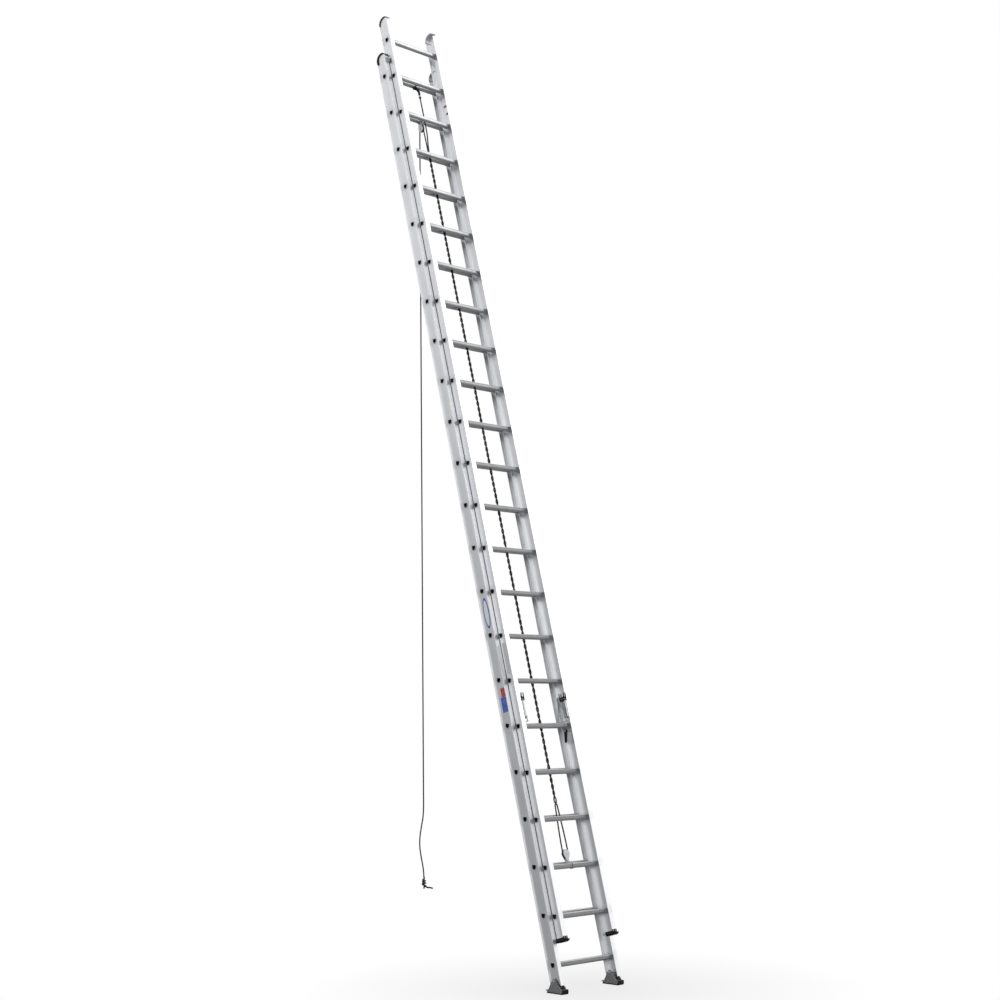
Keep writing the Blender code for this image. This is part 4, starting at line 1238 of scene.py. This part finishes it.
def make_ropes():
    """The two runs of the hoist rope, twisted together between the blocks, and its turns."""
    dead_end = Vector((0.022, LOW_Y, 21 * PITCH - 0.050))
    right = Vector((LOW_R, LOW_Y, LOW_Z))
    left = Vector((-LOW_R, LOW_Y, LOW_Z))
    front = Vector((0, UP_Y - UP_R, UP_Z))

    # Turns that don't change length
    over = []
    for i in range(41):
        a = math.radians(180 + (math.degrees(TURN) - 180) * i / 40)
        over.append(Vector((0, UP_Y + UP_R * math.cos(a), UP_Z + UP_R * math.sin(a))))
    plumb = leaned([(0, -0.008)])[0]
    over.append(over[-1] + Vector((0, plumb[0], plumb[1])))
    start_share = (dead_end.z - UP_Z) / (dead_end.z - right.z)
    joint_a = dead_end.lerp(right, start_share)
    fixed = bmesh.new()
    add_tube(fixed, over, ROPE, 14, 0.10)
    add_tube(fixed, smooth_path([dead_end, joint_a], 0.003), ROPE, 14, 0.10)
    rope_piece("hoist_rope_fixed_turns", fixed, "base")

    under = []
    for i in range(49):
        a = math.radians(360 - 180 * i / 48)
        under.append(Vector((LOW_R * math.cos(a), LOW_Y, LOW_Z + LOW_R * math.sin(a))))
    turn = bmesh.new()
    add_tube(turn, under, ROPE, 14, 0.10)
    rope_piece("hoist_rope_lower_turn", turn, "fly")

    # Runs: straight at both ends, wound round each other in between
    low_twist, high_twist = LOW_Z + 0.32, UP_Z - 0.20
    turn_pitch = 0.086
    gap = ROPE + 0.0002
    runs = bmesh.new()
    step = 0.0035
    for hand, upper, lower in ((1, joint_a, right), (-1, front, left)):
        count = int((upper.z - lower.z) / step)
        points = []
        for i in range(count + 1):
            t = i / count
            p = upper.lerp(lower, t)
            z = p.z
            into_top = min(max((UP_Z - 0.02 - z) / 0.18, 0.0), 1.0)
            into_low = min(max((z - LOW_Z - 0.03) / 0.42, 0.0), 1.0)
            w = (into_top * into_top * (3 - 2 * into_top)) * (into_low * into_low * (3 - 2 * into_low))
            middle = joint_a.lerp(right, t).lerp(front.lerp(left, t), 0.5)
            middle.x = 0.004 * (1 - t)
            angle = 2 * math.pi * (high_twist - z) / turn_pitch
            if z > high_twist:
                angle = 0.0
            if z < low_twist:
                whole = math.floor((high_twist - low_twist) / turn_pitch)
                angle = 2 * math.pi * whole
            winding = Vector((hand * gap * math.cos(angle), hand * gap * math.sin(angle), 0.0))
            points.append(p.lerp(middle + winding, w))
        add_tube(runs, points, ROPE, 12, 0.10)
    obj = rope_piece("hoist_rope_runs", runs, "base")
    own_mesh(obj)
    return TO_WORLD @ over[-1]


def make_tail(start):
    """The free end: plumb from the upper block, slack above its knot."""
    bottom = 0.527
    knot = 0.075
    points = []
    for i in range(78):
        z = start.z - 0.0003 + (bottom - start.z + 0.0003) * i / 77
        above = z - bottom - knot
        sway = 0.0
        if 0.0 < above < 0.48:
            sway = 0.020 * math.sin(math.pi * above / 0.48) ** 2
        points.append(Vector((start.x - sway, start.y + sway, z)))
    path = smooth_path(points, 0.0034)
    tube = bmesh.new()
    length = add_tube(tube, path, ROPE, 12, 0.10)
    tail = to_piece("tail_rope", tube, "base", (ROPE_LOOK,), leaning=False, weld=False,
                    replaces=("rope_tail",))

    # Three stacked loops, and the short end that leaves them
    x0, y0 = points[-1].x, points[-1].y
    loops = []
    levels = ((0.064, 0.0086), (0.053, 0.0105), (0.037, 0.0122), (0.019, 0.0140))
    levels = [(bottom + height, radius) for height, radius in levels]
    steps = 20
    turns = len(levels) - 1
    for i in range(turns * steps + 1):
        t = i / steps
        k = min(int(t), turns - 1)
        f = t - k
        f = f * f * (3 - 2 * f)
        z = levels[k][0] + (levels[k + 1][0] - levels[k][0]) * f
        r = levels[k][1] + (levels[k + 1][1] - levels[k][1]) * f
        a = 2 * math.pi * t + 0.6
        loops.append(Vector((x0 + r * math.cos(a), y0 + 0.86 * r * math.sin(a), z)))
    end = loops[-1]
    away = Vector((0.78, -0.62, 0.0)).normalized()
    free = [end, end + Vector((0.006, -0.008, -0.006)), end + away * 0.020 + Vector((0, 0, -0.011)),
            end + away * 0.040 + Vector((0, 0, -0.013)), end + away * 0.056 + Vector((0, 0, -0.018))]
    whole = loops[:-1] + smooth_path(free, 0.002)
    head = [points[-1] + Vector((0.0, 0.0, knot + 0.010))]
    head += [points[-1] + Vector((0.003, 0.002, knot + 0.002))]
    whole = smooth_path(head + [whole[0]], 0.002)[:-1] + whole
    knot_mesh = bmesh.new()
    add_tube(knot_mesh, whole, 0.0052, 14, 0.10)
    # Whipping at the cut end
    tip = whole[-1]
    back = whole[-5]
    d = (tip - back).normalized()
    add_tube(knot_mesh, [tip - d * 0.007, tip - d * 0.0065, tip + d * 0.0008, tip + d * 0.0014],
             [0.0050, 0.0058, 0.0057, 0.0044], 16, mark=1)
    knot_piece = to_piece("tail_knot", knot_mesh, "base", (ROPE_LOOK, PLASTIC), leaning=False,
                          weld=False)


# ---------------------------------------------------------------- labels

def make_label(name, body, x_face, outward, y, z_low, z_high, half, material, corner=0.004, oval=False):
    """A thin plate on a web's face. outward is the sign of x that it faces."""
    if oval:
        middle, tall = (z_low + z_high) / 2, (z_high - z_low) / 2
        shape = [(y + half * math.cos(a), middle + tall * math.sin(a))
                 for a in [2 * math.pi * i / 48 for i in range(48)]]
    else:
        shape = rounded(box(y - half, y + half, z_low, z_high), corner, 4)
    bm = bmesh.new()
    a = x_face + outward * 0.00005
    b = x_face + outward * 0.00045
    add_soft_prism(bm, shape, 0, *sorted((a, b)), edge=0.00015)
    return to_piece(name, bm, body, (material,), angle=50)


def make_labels():
    near = -BASE_WEB
    make_label("base_label_oval", "base", near, -1, -0.004, 2.180, 2.390, 0.026, LABEL_BLUE, oval=True)
    make_label("base_label_oval_field", "base", near - 0.0004, -1, -0.004, 2.196, 2.374, 0.0185,
               LABEL_PALE, oval=True)
    make_label("base_label_red", "base", near, -1, -0.019, 1.712, 1.772, 0.021, LABEL_RED, 0.003)
    make_label("base_label_blue", "base", near, -1, -0.013, 1.612, 1.711, 0.027, LABEL_BLUE, 0.003)
    make_label("base_label_grey_small", "base", near, -1, -0.010, 1.552, 1.586, 0.020, LABEL_GREY, 0.003)
    make_label("base_label_grey", "base", near, -1, -0.004, 1.300, 1.465, 0.026, LABEL_GREY)
    make_label("fly_label_grey", "fly", -FLY_WEB, -1, FLY_Y - 0.012, 1.850, 2.060, 0.017, LABEL_GREY)
    far = FLY_WEB - WALL
    make_label("fly_label_red", "fly", far, -1, FLY_Y - 0.004, 6.244, 6.262, 0.019, LABEL_RED, 0.002)
    make_label("fly_label_dark", "fly", far, -1, FLY_Y - 0.006, 6.178, 6.196, 0.009, PLASTIC, 0.003)


# ---------------------------------------------------------------- camera, light and floor

def make_camera():
    data = bpy.data.cameras.new("camera")
    data.sensor_width = 36.0
    data.lens = LENS
    data.clip_end = 200.0
    camera = bpy.data.objects.new("camera", data)
    level = Vector((math.cos(YAW), math.sin(YAW), 0.0))
    forward = level * math.cos(PITCH_UP) + Vector((0.0, 0.0, math.sin(PITCH_UP)))
    across = Vector((math.sin(YAW), -math.cos(YAW), 0.0))
    up = across.cross(forward)
    right = across * math.cos(ROLL) + up * math.sin(ROLL)
    lift = up * math.cos(ROLL) - across * math.sin(ROLL)
    matrix = Matrix((right, lift, -forward)).transposed().to_4x4()
    camera.matrix_world = Matrix.Translation(EYE) @ matrix
    bpy.context.scene.collection.objects.link(camera)
    bpy.context.scene.camera = camera


def make_world():
    world = bpy.data.worlds.new("studio")
    bpy.context.scene.world = world
    world.use_nodes = True
    tree = world.node_tree
    back = tree.nodes["Background"]
    coordinates = tree.nodes.new("ShaderNodeTexCoord")
    parts = tree.nodes.new("ShaderNodeSeparateXYZ")
    tree.links.new(coordinates.outputs["Generated"], parts.inputs[0])

    def ramp(value, low, high, to_low, to_high):
        made = tree.nodes.new("ShaderNodeMapRange")
        made.interpolation_type = "SMOOTHSTEP"
        limits = {"From Min": low, "From Max": high, "To Min": to_low, "To Max": to_high}
        for key, number in limits.items():
            made.inputs[key].default_value = number
        tree.links.new(value, made.inputs["Value"])
        return made.outputs["Result"]

    def combine(kind, first, second):
        made = tree.nodes.new("ShaderNodeMath")
        made.operation = kind
        for socket, value in zip(made.inputs, (first, second)):
            if isinstance(value, float):
                socket.default_value = value
            else:
                tree.links.new(value, socket)
        return made.outputs[0]

    # Bright overhead and at the ladder's front right, grey near the floor and behind its left
    height = ramp(parts.outputs["Z"], -0.16, 0.34, SKY_LOW, SKY_HIGH)
    aim = (0.75, -0.66)
    towards = combine("ADD", combine("MULTIPLY", parts.outputs["X"], aim[0]),
                      combine("MULTIPLY", parts.outputs["Y"], aim[1]))
    strength = combine("ADD", height, ramp(towards, -0.30, 0.90, 0.0, SKY_FRONT))
    lit = tree.nodes.new("ShaderNodeBackground")
    tree.links.new(strength, lit.inputs["Strength"])
    lit.inputs["Color"].default_value = (0.985, 0.99, 1.0, 1.0)
    back.inputs["Color"].default_value = (1.0, 1.0, 1.0, 1.0)
    back.inputs["Strength"].default_value = 1.0
    ray = tree.nodes.new("ShaderNodeLightPath")
    mix = tree.nodes.new("ShaderNodeMixShader")
    tree.links.new(ray.outputs["Is Camera Ray"], mix.inputs[0])
    tree.links.new(lit.outputs[0], mix.inputs[1])
    tree.links.new(back.outputs[0], mix.inputs[2])
    tree.links.new(mix.outputs[0], tree.nodes["World Output"].inputs["Surface"])


def make_light(name, place, aim, size, power):
    data = bpy.data.lights.new(name, "AREA")
    data.shape = "RECTANGLE"
    data.size, data.size_y = size
    data.energy = power
    lamp = bpy.data.objects.new(name, data)
    lamp.location = place
    lamp.rotation_euler = (Vector(aim) - Vector(place)).to_track_quat("-Z", "Y").to_euler()
    bpy.context.scene.collection.objects.link(lamp)


def make_floor():
    bm = bmesh.new()
    ring = [bm.verts.new((30 * x, 30 * y, -0.0002)) for x, y in circle((0, 0), 1.0, 96)]
    bm.faces.new(ring)
    look = Look("studio_floor", (0.27, 0.27, 0.27), 0.75)
    parts = look.node("ShaderNodeVectorMath", operation="LENGTH")
    look.link(look.coordinates(), parts.inputs[0])
    glow = look.node("ShaderNodeEmission")
    glow.inputs["Strength"].default_value = 1.0
    fade = look.ramp(parts.outputs["Value"], 0.25, 1.8, 0.78, 1.0)
    ray = look.node("ShaderNodeLightPath")
    mix = look.node("ShaderNodeMixShader")
    look.link(look.math("MULTIPLY", fade, ray.outputs["Is Camera Ray"]), mix.inputs[0])
    look.link(look.shader.outputs[0], mix.inputs[1])
    look.link(glow.outputs[0], mix.inputs[2])
    output = [n for n in look.tree.nodes if n.type == "OUTPUT_MATERIAL"][0]
    look.link(mix.outputs[0], output.inputs["Surface"])
    floor = to_piece("studio_floor", bm, None, (look.material,), leaning=False, weld=False)


def main():
    make_camera()
    make_world()
    make_light("key", (4.5, -7.5, 9.0), (0, 0.8, 3.2), (7.0, 7.0), 210.0)
    make_light("fill", (-7.5, -3.0, 5.5), (0, 0.8, 3.2), (4.0, 4.0), 22.0)
    make_floor()
    bpy.context.scene.view_settings.view_transform = "Standard"

    tail_start = make_ropes()
    make_tail(tail_start)
    make_upper_block()
    make_lower_block()
    make_sheave("upper_sheave", 0, (0, UP_Y, UP_Z), UP_R, "upper_sheave")
    make_sheave("lower_sheave", 1, (0, LOW_Y, LOW_Z), LOW_R, "lower_sheave")
    make_dead_end()
    for side, label in SIDES:
        for section in ("base", "fly"):
            make_rail(section, side, label)
            make_end_cap(section, side, label)
        make_guide(side, label)
        make_boot(side, label)
        make_shoe(side, label)
        make_lock(side, label)
        make_lock_frame(side, label)
        make_flipper(side, label)
    for k in range(RUNGS):
        make_rung("base", k)
        make_rung("fly", k)
    make_labels()


main()
